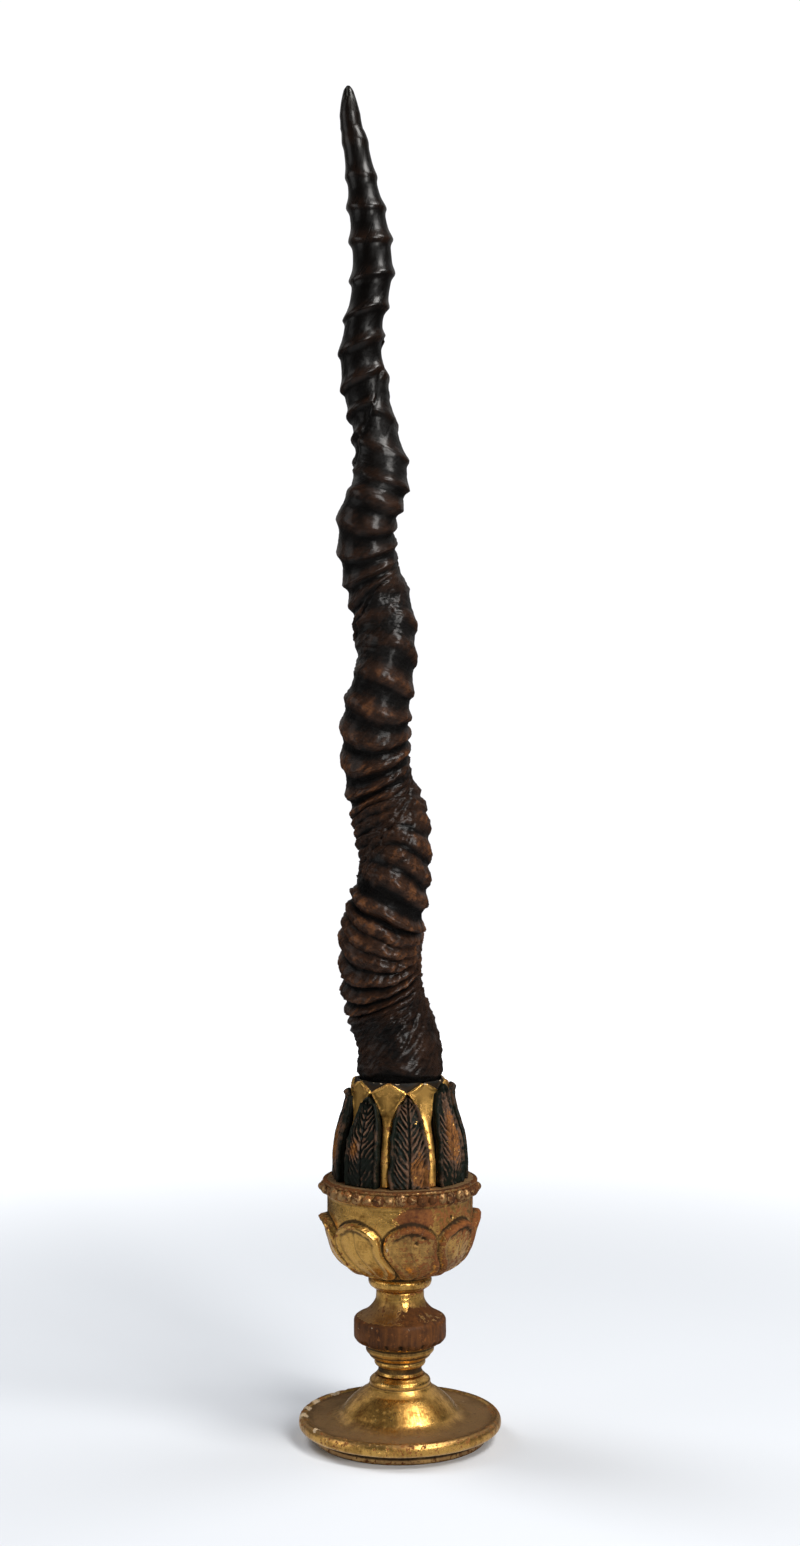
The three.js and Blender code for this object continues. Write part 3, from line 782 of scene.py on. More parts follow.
def cup_rule(theta, radius, height):
    """Lower leaves with borders, veins and curled tips, wormholes, and where the gold has gone."""
    outside = (radius > 15.5) & (height > 82.4) & (height < 128.5)
    leaning = 11 * (1 - step_up(height, 86, 101))
    across = np.radians(round_sector(theta, LEAF_AZIMUTH + leaning)) * radius
    reach = np.radians(read_off(height, LOWER_LEAF)) * radius
    widening = read_off(height + 0.2, LOWER_LEAF) - read_off(height - 0.2, LOWER_LEAF)
    taper = np.clip(np.radians(widening) * radius / 0.4, -6, 6)
    inside = (reach - np.abs(across)) / np.sqrt(1 + taper ** 2)
    inside = np.where(outside & (height < 113.6), inside, -1)
    on_leaf = step_up(inside, -0.1, 0.5)
    up_leaf = np.clip((height - 82.5) / 31, 0, 1)
    round_front = from_front(theta)
    front_leaf = on_leaf * (1 - step_up(np.abs(round_front - 10), 18, 24))
    right = step_up(np.cos(theta - np.radians(FRONT + 68)), 0.25, 0.95) * outside

    # Carving
    rounded = np.sqrt(np.clip(inside / 2.6, 0, 1))
    border = bell(inside, 2.0, 1.3) * on_leaf
    panel = step_up(inside, 2.6, 5.6) * on_leaf
    incised = bell(inside, 4.1, 0.9) * on_leaf * step_up(up_leaf, 0.1, 0.35)
    vein = bell(across, 0, 0.8) * panel
    curl = step_up(up_leaf, 0.7, 1.0) * on_leaf
    valley = bell(inside, -0.2, 0.7) * outside * (height < 112) * (height > 84)
    out = on_leaf * 0.8 * up_leaf + rounded * 2.2 + curl * 1.5 - curl * panel * 1.3 - valley * 0.6
    out = out + border * (0.6 - 0.35 * front_leaf) - panel * (1.4 - 1.1 * up_leaf)
    out = out - incised * 0.15 - vein * 0.3
    holes = np.zeros_like(height)
    for worm_side, worm_height in WORMHOLES:
        across_hole = np.radians(round_front - worm_side) * radius
        worm = np.exp(-(across_hole ** 2 + (height - worm_height) ** 2) / 0.7) * outside
        out = out - worm * 1.6
        holes = np.maximum(holes, worm)

    # Wear and dirt, with painted shade in the valleys and curled tips
    patch = 1 - step_up(np.hypot((round_front - 11) / 14, (height - 115.8) / 6.5), 0.55, 1.35)
    patch = patch * (1 - on_leaf) * outside
    rim = step_up(radius, 36, 37.4) * step_up(height, 122, 123)
    flat = step_up(height, 129.2, 129.7)
    between = bell(inside, -0.3, 0.8) * outside * (height < 113)
    # Painted highlight: the ridge left of the front leaf is marked clean, so its gold stays bright.
    ridge = border * step_up(across, 2, 7) * within(round_front, -44, -34, -3, 3)
    # Dirt in the veins, wormholes and flat top; painted shade in the valleys between the leaves and in the
    # hollowed panel of each curled tip, made darker on the front leaf by its tarnish.
    dirt_and_shade = vein * 0.08 + between * 0.5 + curl * panel * (0.2 + front_leaf * 0.5) + holes * 2 + flat * 0.3
    dull = flat * 1.3 + rim * 0.6 + curl * (0.25 + right * 0.4) + right * 0.3 + front_leaf * 0.3
    rubbed = patch * 0.5 + right * 0.2 + rim * (0.1 + right * 0.15) + curl * right * 0.14
    rubbed = rubbed + front_leaf * (0.06 + curl * 0.12)
    kept = {
        "high": np.clip(border * (0.35 + 0.3 * curl) + rim * 0.6 * (1 - flat), 0, 1),
        "deep": np.clip(dirt_and_shade, 0, 1),
        "bare": flat * 0.34 + rim * 0.35,
        "dull": np.clip(dull, 0, 1.3),
        "bole": np.clip(rubbed, 0, 1),
        "clean": panel * step_up(-round_front, 8, 40) * 0.14 + ridge * 0.42,
    }
    return out, np.zeros_like(out), kept


# ---------------------------------------------------------------- calyx and leaves

# Half width of a petal in millimetres, by height: a stem that flares into a pointed head
PETAL = [
    (131, 2.7), (156, 2.5), (161, 2.9), (165, 4.0), (169, 5.6), (172.5, 7.4), (175.2, 8.9),
    (176.4, 7.4), (178, 4.6), (179.6, 1.8), (180.4, 0.4),
]
# Waves round the calyx that make the petals uneven and chip its rim: count and phase
PETAL_EDGES = [(5, 0.3), (8, 1.0), (13, 2.0)]
RIM_CHIPS = [(11, 0.5), (19, 2.0), (31, 1.0)]
# Half width of a leaf in degrees round the calyx, by share of its height
LEAF = [
    (0, 17.2), (0.2, 17.8), (0.42, 17.4), (0.58, 16.4), (0.72, 14.8), (0.84, 12.2), (0.93, 9.4),
    (0.98, 7.2), (1.0, 5.6),
]
# Outer face of a leaf, by share of its height: radius and height
LEAF_RADIUS = [(0, 33), (0.22, 33), (0.43, 32), (0.63, 29.6), (0.82, 26.9), (0.91, 26.3), (1.0, 27.0)]
LEAF_HEIGHT = [(0, 130.3), (0.22, 140), (0.43, 150), (0.63, 159), (0.82, 168), (0.91, 172.2), (1.0, 176.4)]
LEAF_MEAN_RADIUS = 30.0  # millimetres from the axis
LEAF_TIP_RISE = [-3, 3, 1, -1, 2, 0, -1, -3]  # each tip above or below the others, in millimetres
# Bare places on each leaf: middle as shares of its half width and height, reach, and wear all over
LEAF_BARE = [
    (-0.5, 0.18, 0.40, 0.26), (-0.1, 0.5, 0.6, 0.12), (0, 0.5, 0.5, 0.2), (0.3, 0.6, 0.4, 0.1),
    (-0.2, 0.3, 0.5, 0.15), (0.2, 0.7, 0.4, 0.1), (0, 0.4, 0.5, 0.1), (0.45, 0.4, 0.3, -0.05),
]


def calyx_line():
    """A block with a tenon below, drawn in towards its thin rim, and the socket for the horn."""
    line = Outline(0, 118.3, 0.45).jump(CALYX_TENON, 118.3).jump(CALYX_TENON, 130.3)
    line.jump(29.8, 130.3).line(29.8, 138)
    line.curve(29.4, 149, 25.6, 158).curve(22.9, 166, 22.3, 179.4).line(21.9, 180).line(SOCKET, 180)
    return line.jump(SOCKET, SOCKET_FLOOR).jump(0, SOCKET_FLOOR).softened(1)


def calyx_rule(theta, radius, height):
    """Eight petals: a round stem that flares into a hollowed head, on a sunk ground with a chipped rim."""
    outside = (radius > 21.2) & (height > 130.6)
    across = np.abs(np.radians(round_sector(theta, LEAF_AZIMUTH + SECTOR / 2)) * radius)
    half_width = read_off(height, PETAL) * (1 + 0.08 * ripple(theta, PETAL_EDGES))
    inside = np.where(outside, half_width - across, -1)
    on_petal = step_up(inside, -0.4, 0.8)
    off_petal = 1 - on_petal
    share = np.clip(across / np.maximum(half_width, 0.3), 0, 1)
    head = step_up(height, 158, 172)
    rounded = np.clip(1 - share ** 2, 0, 1) ** 0.8 * (1 - head) * 1.5
    border = bell(inside, 0.7, 0.55)
    spoon = head * (0.9 + 1.3 * share ** 2 + 0.35 * border)
    out = on_petal * (rounded + spoon) - 0.6 * off_petal * outside
    chipped = np.clip(ripple(theta, RIM_CHIPS), 0, 1)
    rim = step_up(height, 178.8, 180) * (radius > 20.9)
    beside_stem = on_petal * (1 - head) * share ** 4
    in_spoon = on_petal * (1 - share) * head
    kept = {
        "high": on_petal * np.clip(border * (0.3 + 0.7 * head) + 0.15, 0, 1),
        "deep": np.clip(off_petal * 0.5 * outside + beside_stem * 0.9 + in_spoon * 0.46, 0, 1),
        "gilt": on_petal,
        "dull": on_petal * (1 - head),
        "bare": rim * (0.25 + chipped),
    }
    return out, -0.7 * chipped * rim, kept


def hump(value, middle, width):
    """1 where the value is at the middle, and falling away over the width."""
    away = (value - middle) * (1.0 / width)
    return (-(away * away)).exp()


def leaf_tree():
    """A slab bent round the calyx: lance-shaped, with thick edges, a midrib, veins and a curled tip."""
    nodes, given = rule_tree("Carved leaf", {
        "Azimuth": LEAF_AZIMUTH, "Tip Rise": 0.0, "Thickness": 3.0, "Vein Spacing": 3.8, "Vein Depth": 0.78,
        "Bare Side": 0.0, "Bare Height": 0.0, "Bare Reach": 0.5, "Worn": 0.0, "Seed": 0.0,
        "Material": MATERIAL,
    })
    sizes = {"Size": (2.0, 1.0, 1.0), "Vertices X": 53, "Vertices Y": 6, "Vertices Z": 96}
    slab = nodes.geometry("MeshCube", sizes, None, "Mesh")
    across, depth, z = nodes.parts(nodes.position())
    up = z + 0.5
    side = across.size()
    front = depth + 0.5
    half_angle = nodes.along(up, LEAF)
    radius = nodes.along(up, LEAF_RADIUS)
    tall = nodes.along(up, LEAF_HEIGHT)
    seed = nodes.vector(given["Seed"], up * 4.0, across)
    waver = (nodes.cloud(seed, (1.0, 2.2, 0.6), detail=3.0) - 0.5) * 0.4
    angle = (given["Azimuth"] - across * half_angle * (1.0 + waver * side)) * DEGREE
    half_width = half_angle * (DEGREE * LEAF_MEAN_RADIUS)
    millimetres = side * half_width
    edge_gap = half_width - millimetres

    # Border, midrib and veins
    border = hump(edge_gap, 1.0, 0.95)
    inner = hump(edge_gap, 2.6, 0.7)
    midrib = hump(millimetres, 0.0, 0.4)
    beside_rib = hump(millimetres, 1.1, 0.6)
    bending = (nodes.cloud(seed, (1.0, 1.3, 1.4)) - 0.5) * 1.9
    uneven = nodes.cloud(seed, (2.0, 1.8, 1.2))
    steep = 1.2 + 0.5 * side
    phase = ((tall - millimetres * steep) / given["Vein Spacing"] + bending) * (2 * math.pi)
    ridged = phase.cos()
    sharp = (ridged * 0.5 + 0.5) ** 0.6 * 2.0 - 1.2
    field = nodes.rescale(edge_gap, 1.4, 2.8, smooth=True) * nodes.rescale(millimetres, 0.3, 1.0)
    field = field * nodes.rescale(up, 1.0, 0.86) * nodes.rescale(up, 0.04, 0.3, 0.35, 1.0)
    field = field * nodes.rescale(uneven, 0.34, 0.58, 0.15, 1.2)
    veins = sharp * field * given["Vein Depth"]
    place = nodes.vector(up * 46.0, across * half_width, given["Seed"])
    knife = (nodes.cloud(place, (0.16, 0.22, 1.0), 4.0, 0.6) - 0.5) * 1.3
    face = border * 1.05 - inner * 0.55 - midrib * 0.85 + beside_rib * 0.4 + veins

    # Section and tip
    lift = side * side * 0.5 + front * (face + knife * nodes.rescale(side, 1.0, 0.8))
    rounding = side ** 14.0 * 0.9
    edge_groove = hump(depth, 0.0, 0.17) * nodes.rescale(side, 0.985, 1.0)
    thickness = given["Thickness"] * nodes.rescale(up, 1.0, 0.9, 0.75, 1.0)
    out = radius + lift - thickness * (0.5 - depth) - rounding * nodes.rescale(depth, 0.0, 0.5)
    height = tall + given["Tip Rise"] * up * up * up * up - edge_groove * nodes.rescale(up, 0.97, 1.0) * 0.5
    corner = side * side * 2.6 + depth * depth * 4.0
    height = height - corner * nodes.rescale(up, 0.9, 1.0, smooth=True)
    shrunk = angle + edge_groove * across * 0.02
    bent = nodes.vector(out * shrunk.cos(), out * shrunk.sin(), height)

    # Wear and dirt
    off_side = (across - given["Bare Side"]) / given["Bare Reach"]
    off_up = (up - given["Bare Height"]) / given["Bare Reach"] * 2.6
    spot = (-(off_side * off_side + off_up * off_up)).exp()
    between_veins = nodes.rescale(ridged, -0.3, -1.0) * field
    stored = nodes.keep(slab, {
        "high": (border * 0.4 + nodes.rescale(ridged, 0.0, 0.9) * field + beside_rib * 0.4) * front,
        "deep": (midrib * 0.9 + between_veins + inner * 0.5) * front + (1.0 - front) * 0.7,
        "bare": spot * 1.1 + given["Worn"],
    })
    return close_tree(nodes, nodes.move(stored, bent), given["Material"])


# ---------------------------------------------------------------- finishes


def finish(name):
    """An empty material: its builder and its surface shader."""
    material = bpy.data.materials.new(name)
    material.use_nodes = True
    shader = material.node_tree.nodes["Principled BSDF"]
    return material, Nodes(material.node_tree), shader


def join(nodes, shader, **links):
    """Links results to the shader's sockets. An underscore stands for a space."""
    for name, wire in links.items():
        feed(nodes.tree, shader.inputs[name.replace("_", " ")], wire)


def read(nodes, *names, output="Fac"):
    """The values kept on the mesh under these names."""
    return [nodes.node("ShaderNodeAttribute", {"attribute_name": name})(output) for name in names]


def rough_up(nodes, relief, distance, strength):
    inputs = {"Height": relief, "Distance": distance, "Strength": strength}
    return nodes.node("ShaderNodeBump", None, inputs)("Normal")


def object_place(nodes):
    return nodes.node("ShaderNodeTexCoord")("Object")


def grown_horn(colours):
    """Near-black waxed horn, browner and rougher low down, and worn orange on the ring crests."""
    material, nodes, shader = finish("Waxed horn")
    crest, hollow, low = read(nodes, "crest", "hollow", "low")
    grain, place = read(nodes, "grain", "place", output="Vector")
    fibres = nodes.cloud(grain, (1100, 1100, 55), 4.0, 0.65)
    wrinkles = nodes.cloud(place, (110, 110, 1000), 5.0, 0.62, 0.6)
    patches = nodes.cloud(place, (75, 75, 60), 5.0, 0.66)
    scales = nodes.cloud(grain, (420, 420, 300), 3.0, 0.6)
    worn = crest * 0.75 + (patches - 0.5) * 1.5 + low * 0.25 - hollow * 0.6
    worn = worn + (scales - 0.5) * 0.5 + (fibres - 0.5) * 0.7
    worn = nodes.rescale(worn, 0.0, 0.8) * nodes.rescale(low, 0.0, 0.6, 0.28, 1.0)
    brown = nodes.blend(worn, colours.horn_dark, colours.horn_brown)
    through = nodes.rescale(crest * 0.7 + (patches - 0.5) * 1.7 + (scales - 0.5) * 1.3, 0.42, 1.0)
    warm = nodes.blend(through * nodes.rescale(low, 0.35, 0.8), brown, colours.horn_crest)
    # Dirt and old wax darken the hollows; the butt in the socket is darkened too, as painted shade.
    dirt_and_shade = nodes.rescale(hollow + (wrinkles - 0.5) * 0.9 + (fibres - 0.5) * 0.5, 0.05, 0.54)
    colour = nodes.blend(dirt_and_shade * 0.95, warm, colours.horn_dirt_and_shade)
    near_tip = nodes.rescale(nodes.parts(place)[2], 0.664, 0.672)
    scuffed = near_tip * nodes.rescale(fibres, 0.5, 0.56)
    colour = nodes.blend(scuffed * 0.7, colour, colours.horn_scuffed)
    rough = 0.20 + 0.18 * fibres + low * wrinkles * 0.18 + hollow * 0.12
    relief = fibres * (0.18 + low * 0.45) + wrinkles * (0.05 + low * 1.15) + scales * low * 0.6
    unwaxed = nodes.rescale(hollow + (patches - 0.5) * (low * 0.6 + 0.2), 0.0, 0.5)
    waxed = (1.0 - unwaxed) * nodes.rescale(low, 0.0, 0.7, 0.4, 0.2)
    join(nodes, shader, Base_Color=colour, Roughness=rough, Normal=rough_up(nodes, relief, 0.0015, 1.0))
    join(nodes, shader, Coat_Weight=waxed)
    shader.inputs["Specular IOR Level"].default_value = 0.08
    shader.inputs["Coat Roughness"].default_value = 0.24
    return material


def aged_gold(nodes, where, colours, tarnish):
    """Old gold leaf: its colour, how brown it is from tarnish and brushed dirt, and its brush lines."""
    x, y, z = nodes.parts(where)
    out = (x * x + y * y).sqrt().at_least(0.002)
    round_lines = nodes.cloud(nodes.vector(x * 22.0, y * 22.0, (z + out) * 900.0), 1.0, 3.0, 0.6)
    long_lines = nodes.cloud(nodes.vector(x / out * 26.0, y / out * 26.0, z * 130.0), 1.0, 4.0, 0.65)
    clouds = nodes.cloud(where, 95.0, 6.0, 0.68)
    specks = nodes.cloud(where, 800.0, 2.0, 0.55)
    brown = clouds * 1.6 - 0.25 + (round_lines - 0.5) * 0.5 + (long_lines - 0.5) * 0.6
    brown = nodes.rescale(brown + (specks - 0.5) * 0.45 + tarnish, 0.44, 0.84)
    leaf = nodes.blend(nodes.cloud(where, 38.0, 3.0), colours.gold_bright, colours.gold_dull)
    return nodes.blend(brown, leaf, colours.gold_brown), brown, round_lines * 0.5 + long_lines * 0.5


def matt_ground(shader):
    """Keeps the dark places of paint and wood from turning grey in the light."""
    shader.inputs["Specular IOR Level"].default_value = 0.1


def gilded(name, colours, rubbed, grime_and_shade, tarnished=0.0):
    """Gold leaf over red bole on gessoed wood. It is rubbed on high places and dirty in hollows, and it
    carries the painted shade and the painted highlight that the pieces mark.
    """
    material, nodes, shader = finish(name)
    where = object_place(nodes)
    high, deep, bare, dull = read(nodes, "high", "deep", "bare", "dull")
    bole_place, clean, gesso_place = read(nodes, "bole", "clean", "gesso")
    patches = nodes.cloud(where, 75.0, 5.0, 0.62)
    specks = nodes.cloud(nodes.shift(where, (4.0, 0.0, 2.0)), 560.0, 3.2, 0.66)
    fine = nodes.cloud(where, 1800.0, 2.0)

    # Leaf, worn through to the bole
    leaf, tarnish, brushed = aged_gold(nodes, where, colours, dull * 0.3 - clean + tarnished)
    wear = patches * 0.6 + specks * 1.4 + high * 0.16 + bole_place + rubbed - clean
    shows_bole = nodes.rescale(wear, 1.20, 1.27)
    thin = nodes.rescale(specks + (patches - 0.5) * 0.6, 0.35, 0.65)
    bole = nodes.blend(thin, colours.bole, colours.bole_orange)
    colour = nodes.blend(shows_bole, nodes.blend(dull * 0.75, leaf, colours.gold_worn), bole)

    # Bare wood, with some bole left in its grain
    grain = nodes.cloud(where, (600.0, 600.0, 60.0), 5.0, 0.65)
    grain = nodes.rescale(grain + (patches - 0.5) * 1.2, 0.25, 0.75)
    shows_wood = nodes.rescale(bare + (patches - 0.5) * 0.7 + (specks - 0.5) * 0.8, 0.42, 0.50)
    colour = nodes.blend(shows_wood, colour, nodes.blend(grain, colours.wood_dark, colours.wood))
    red = nodes.cloud(nodes.shift(where, (7.0, 7.0, 0.0)), 330.0, 4.0, 0.65)
    red = nodes.rescale(red, 0.60, 0.66) * shows_wood
    colour = nodes.blend(red * 0.7, colour, colours.bole_orange)

    # Chips down to the gesso, then dirt and painted shade
    pale = nodes.cloud(nodes.shift(where, (1.0, 2.0, 3.0)), 260.0, 4.0, 0.6)
    chips = nodes.rescale(pale + high * 0.05 + gesso_place, 0.73, 0.75)
    colour = nodes.blend(chips * 0.8, colour, colours.gesso)
    pits = nodes.rescale(nodes.cloud(nodes.shift(where, (0.0, 9.0, 4.0)), 480.0, 3.0, 0.6), 0.60, 0.68)
    dirt_and_shade = nodes.rescale(deep * 0.9 + grime_and_shade + (patches - 0.5) * 0.8 + (fine - 0.5) * 0.4, 0.25, 0.98)
    dirt_and_shade = dirt_and_shade.at_least(pits * (0.35 + 0.4 * dull)) * (1.0 - clean)
    colour = nodes.blend(dirt_and_shade * 0.95, colour, colours.grime_and_shade)

    solid = shows_bole.at_least(shows_wood).at_least(chips)
    metal = (1.0 - solid) * (1.0 - dirt_and_shade * 0.7) * (1.0 - nodes.rescale(clean, 0.5, 1.0) * 0.6)
    rough = 0.27 + tarnish * 0.16 + solid * 0.2 + dirt_and_shade * 0.25 + dull * 0.12 + (specks - 0.5) * 0.2
    relief = brushed * 0.5 - shows_bole * 0.4 - shows_wood * 0.5 - chips * 0.8 + specks * 0.55 + fine * 0.14
    join(nodes, shader, Base_Color=colour, Metallic=metal, Roughness=rough)
    join(nodes, shader, Normal=rough_up(nodes, relief, 0.00026, 0.8))
    matt_ground(shader)
    return material


def painted_leaf(colours):
    """Green-black paint, rubbed to brown wood on the veins and edges and bare in patches."""
    material, nodes, shader = finish("Worn leaf paint")
    where = object_place(nodes)
    high, deep, bared = read(nodes, "high", "deep", "bare")
    patches = nodes.cloud(where, 85.0, 6.0, 0.66)
    specks = nodes.cloud(where, 620.0, 5.0, 0.66)
    strokes = nodes.cloud(where, (700.0, 700.0, 160.0), 3.0, 0.6)
    colour = nodes.blend(nodes.cloud(where, 160.0, 3.0), colours.leaf_paint, colours.leaf_green)
    rubbed = nodes.rescale(high * 0.45 + patches * 1.1 + (specks - 0.5) * 0.9 + bared * 0.5, 0.74, 0.98)
    worn = nodes.blend(nodes.rescale(specks, 0.3, 0.7), colours.leaf_tan, colours.wood_dark)
    colour = nodes.blend(rubbed * 0.9, colour, worn)
    bare = nodes.rescale(patches * 0.9 + (specks - 0.5) * 0.7 + high * 0.05 + bared * 0.5, 0.74, 0.84)
    stained = nodes.rescale(strokes + (specks - 0.5) * 0.6, 0.3, 0.7)
    colour = nodes.blend(bare, colour, nodes.blend(stained, colours.wood_dark, colours.wood_orange))
    flecks = nodes.cloud(nodes.shift(where, (3.0, 1.0, 0.0)), 330.0, 4.0, 0.6) + bared * 0.06
    gilt = nodes.rescale(flecks, 0.71, 0.74)
    colour = nodes.blend(gilt, colour, colours.gold_bright)
    dirt_and_shade = nodes.rescale(deep + (patches - 0.5) * 0.5, 0.2, 1.0)
    colour = nodes.blend(dirt_and_shade * 0.9, colour, colours.leaf_paint)
    rough = 0.36 + specks * 0.25 + bare * 0.15
    relief = specks * 0.6 + strokes * 0.4 - rubbed * 0.3 - bare * 0.5
    join(nodes, shader, Base_Color=colour, Metallic=gilt * 0.8, Roughness=rough)
    join(nodes, shader, Normal=rough_up(nodes, relief, 0.00025, 0.8))
    matt_ground(shader)
    return material


def calyx_finish(colours):
    """Gilt petals on a ground of dark paint, with pale gesso at the chipped rim."""
    material, nodes, shader = finish("Gilt petals on dark paint")
    where = object_place(nodes)
    high, deep, gilt, bare, dull = read(nodes, "high", "deep", "gilt", "bare", "dull")
    patches = nodes.cloud(where, 100.0, 6.0, 0.64)
    specks = nodes.cloud(where, 620.0, 5.0, 0.66)
    leaf, _, brushed = aged_gold(nodes, where, colours, dull * 0.2 - 0.32)
    shows_bole = nodes.rescale(patches * 0.8 + (specks - 0.5) * 0.8 + high * 0.12, 0.53, 0.61)
    leaf = nodes.blend(shows_bole * 0.9, leaf, nodes.blend(specks, colours.bole, colours.bole_orange))
    on_petal = nodes.rescale(gilt + (specks - 0.5) * 0.5, 0.38, 0.55)
    colour = nodes.blend(on_petal, nodes.blend(patches, colours.leaf_paint, colours.slate), leaf)
    pale = nodes.rescale(bare + (specks - 0.5) * 0.8, 0.55, 0.7)
    colour = nodes.blend(pale, colour, colours.gesso)
    dirt_and_shade = nodes.rescale(deep + (patches - 0.5) * 0.6, 0.3, 1.0) * (1.0 - pale)
    colour = nodes.blend(dirt_and_shade * 0.85, colour, colours.grime_and_shade)
    metal = on_petal * (1.0 - shows_bole) * (1.0 - pale) * (1.0 - dirt_and_shade * 0.7)
    rough = 0.29 + (1.0 - metal) * 0.25 + dull * 0.16 + (specks - 0.5) * 0.15
    relief = on_petal * 0.3 - shows_bole * on_petal * 0.3 + specks * 0.22 + brushed * 0.25
    join(nodes, shader, Base_Color=colour, Metallic=metal, Roughness=rough)
    join(nodes, shader, Normal=rough_up(nodes, relief, 0.00026, 0.8))
    matt_ground(shader)
    return material


# ---------------------------------------------------------------- sizes and colours


def paint(name, description, default):
    return bpy.props.FloatVectorProperty(
        name=name, description=description, default=default, subtype="COLOR", size=4, min=0, max=1
    )


class HornSizes(bpy.types.PropertyGroup):
    """Sizes that change the look of the horn and its carving."""

    horn_columns: bpy.props.IntProperty(
        name="Columns", description="Points round the horn", default=150, min=16, max=300
    )
    horn_rows: bpy.props.IntProperty(
        name="Rows", description="Points up the horn", default=640, min=60, max=1200
    )
    beads: bpy.props.IntProperty(
        name="Beads", description="Beads under the rim of the cup", default=44, min=12, max=80
    )
    leaf_thickness: bpy.props.FloatProperty(
        name="Leaf thickness", description="Thickness of a carved leaf", default=0.0030, min=0.001,
        max=0.005, unit="LENGTH", subtype="DISTANCE",
    )
    vein_spacing: bpy.props.FloatProperty(
        name="Vein spacing", description="Distance between the veins of a leaf", default=0.0038,
        min=0.001, max=0.01, unit="LENGTH", subtype="DISTANCE",
    )


class HornColours(bpy.types.PropertyGroup):
    """Colours of the finishes, before wear and dirt."""

    horn_dark: paint("Dark horn", "Horn in the smooth parts", (0.0022, 0.0015, 0.0011, 1))
    horn_brown: paint("Brown horn", "Horn rubbed on the rings", (0.036, 0.0150, 0.0072, 1))
    horn_crest: paint("Horn crest", "Horn worn through on the ring crests", (0.145, 0.056, 0.020, 1))
    # Also the colour of the painted shade on the butt in the socket.
    horn_dirt_and_shade: paint("Horn dirt", "Dirt and old wax in the hollows", (0.0010, 0.0008, 0.0007, 1))
    horn_scuffed: paint("Scuffed horn", "Grey scratches near the tip", (0.06, 0.06, 0.055, 1))
    gold_bright: paint("Bright gold", "Gold leaf where it is clean", (0.92, 0.55, 0.15, 1))
    gold_dull: paint("Dull gold", "Gold leaf under old varnish", (0.70, 0.375, 0.095, 1))
    gold_worn: paint("Worn gold", "Gold leaf rubbed dull on flat places", (0.42, 0.26, 0.125, 1))
    gold_brown: paint("Brown gold", "Tarnished and dirty gold leaf", (0.24, 0.112, 0.024, 1))
    bole: paint("Bole", "Red clay under the leaf", (0.080, 0.024, 0.008, 1))
    bole_orange: paint("Orange bole", "Bole rubbed thin", (0.19, 0.068, 0.018, 1))
    wood: paint("Wood", "Bare wood", (0.120, 0.043, 0.011, 1))
    wood_dark: paint("Dark wood", "Grain and dirt of bare wood", (0.036, 0.014, 0.006, 1))
    wood_orange: paint("Orange wood", "Bare wood stained by bole", (0.25, 0.100, 0.026, 1))
    gesso: paint("Gesso", "Pale ground where the finish has chipped", (0.40, 0.32, 0.22, 1))
    # Also the colour of painted shade in coves and valleys.
    grime_and_shade: paint("Grime", "Dirt in the hollows", (0.022, 0.013, 0.006, 1))
    leaf_paint: paint("Leaf paint", "Green-black paint", (0.0030, 0.0031, 0.0023, 1))
    leaf_green: paint("Leaf green", "Greener places in the paint", (0.006, 0.010, 0.006, 1))
    leaf_tan: paint("Leaf tan", "Paint rubbed thin on veins and edges", (0.19, 0.108, 0.068, 1))
    slate: paint("Slate", "Dark ground between the petals", (0.020, 0.018, 0.016, 1))


# ---------------------------------------------------------------- operators


def turned_piece(node, line, columns, rule, tree, values):
    """Turns a piece, carves and works it by hand, and lets it stand for its CAD node."""
    mesh = turn_on_lathe(f"{node}_turned", line, columns, rule)
    hand_over(grow(f"{node}_carved", tree, values, mesh), node)


class HORN_OT_foot(bpy.types.Operator):
    """Turn the foot with its plinth, disc and bell"""

    bl_idname = "horn.foot"
    bl_label = "Foot"

    def execute(self, context):
        colours = context.scene.horn_colours
        gold = gilded("Burnished gilding", colours, rubbed=-0.03, grime_and_shade=0.08, tarnished=-0.04)
        values = {"Swelling": 0.00012, "Dents": 0.00003, "Seed": 1.0, "Material": gold}
        turned_piece("foot", foot_line(), 300, foot_rule, worn_tree(), values)
        return {"FINISHED"}


class HORN_OT_stem(bpy.types.Operator):
    """Turn the stem with its knop and neck"""

    bl_idname = "horn.stem"
    bl_label = "Stem"

    def execute(self, context):
        gold = gilded("Worn gilding", context.scene.horn_colours, rubbed=-0.02, grime_and_shade=0.1)
        values = {"Swelling": 0.0002, "Dents": 0.00006, "Seed": 2.0, "Material": gold}
        turned_piece("stem", stem_line(), 260, stem_rule, worn_tree(), values)
        return {"FINISHED"}


class HORN_OT_cup(bpy.types.Operator):
    """Carve the cup with its lower leaves and its row of beads"""

    bl_idname = "horn.cup"
    bl_label = "Cup"

    def execute(self, context):
        colours = context.scene.horn_colours
        gold = gilded("Rubbed gilding", colours, rubbed=0.0, grime_and_shade=0.08, tarnished=-0.03)
        values = {"Swelling": 0.00025, "Dents": 0.0001, "Seed": 3.0, "Material": gold}
        values["Beads"] = context.scene.horn_sizes.beads
        turned_piece("cup", cup_line(), 384, cup_rule, bead_tree(), values)
        return {"FINISHED"}


class HORN_OT_calyx(bpy.types.Operator):
    """Carve the socket block with its eight gilt petals"""

    bl_idname = "horn.calyx"
    bl_label = "Calyx"

    def execute(self, context):
        gold = calyx_finish(context.scene.horn_colours)
        values = {"Swelling": 0.0002, "Dents": 0.00004, "Seed": 4.0, "Material": gold}
        turned_piece("calyx", calyx_line(), 384, calyx_rule, worn_tree(), values)
        return {"FINISHED"}


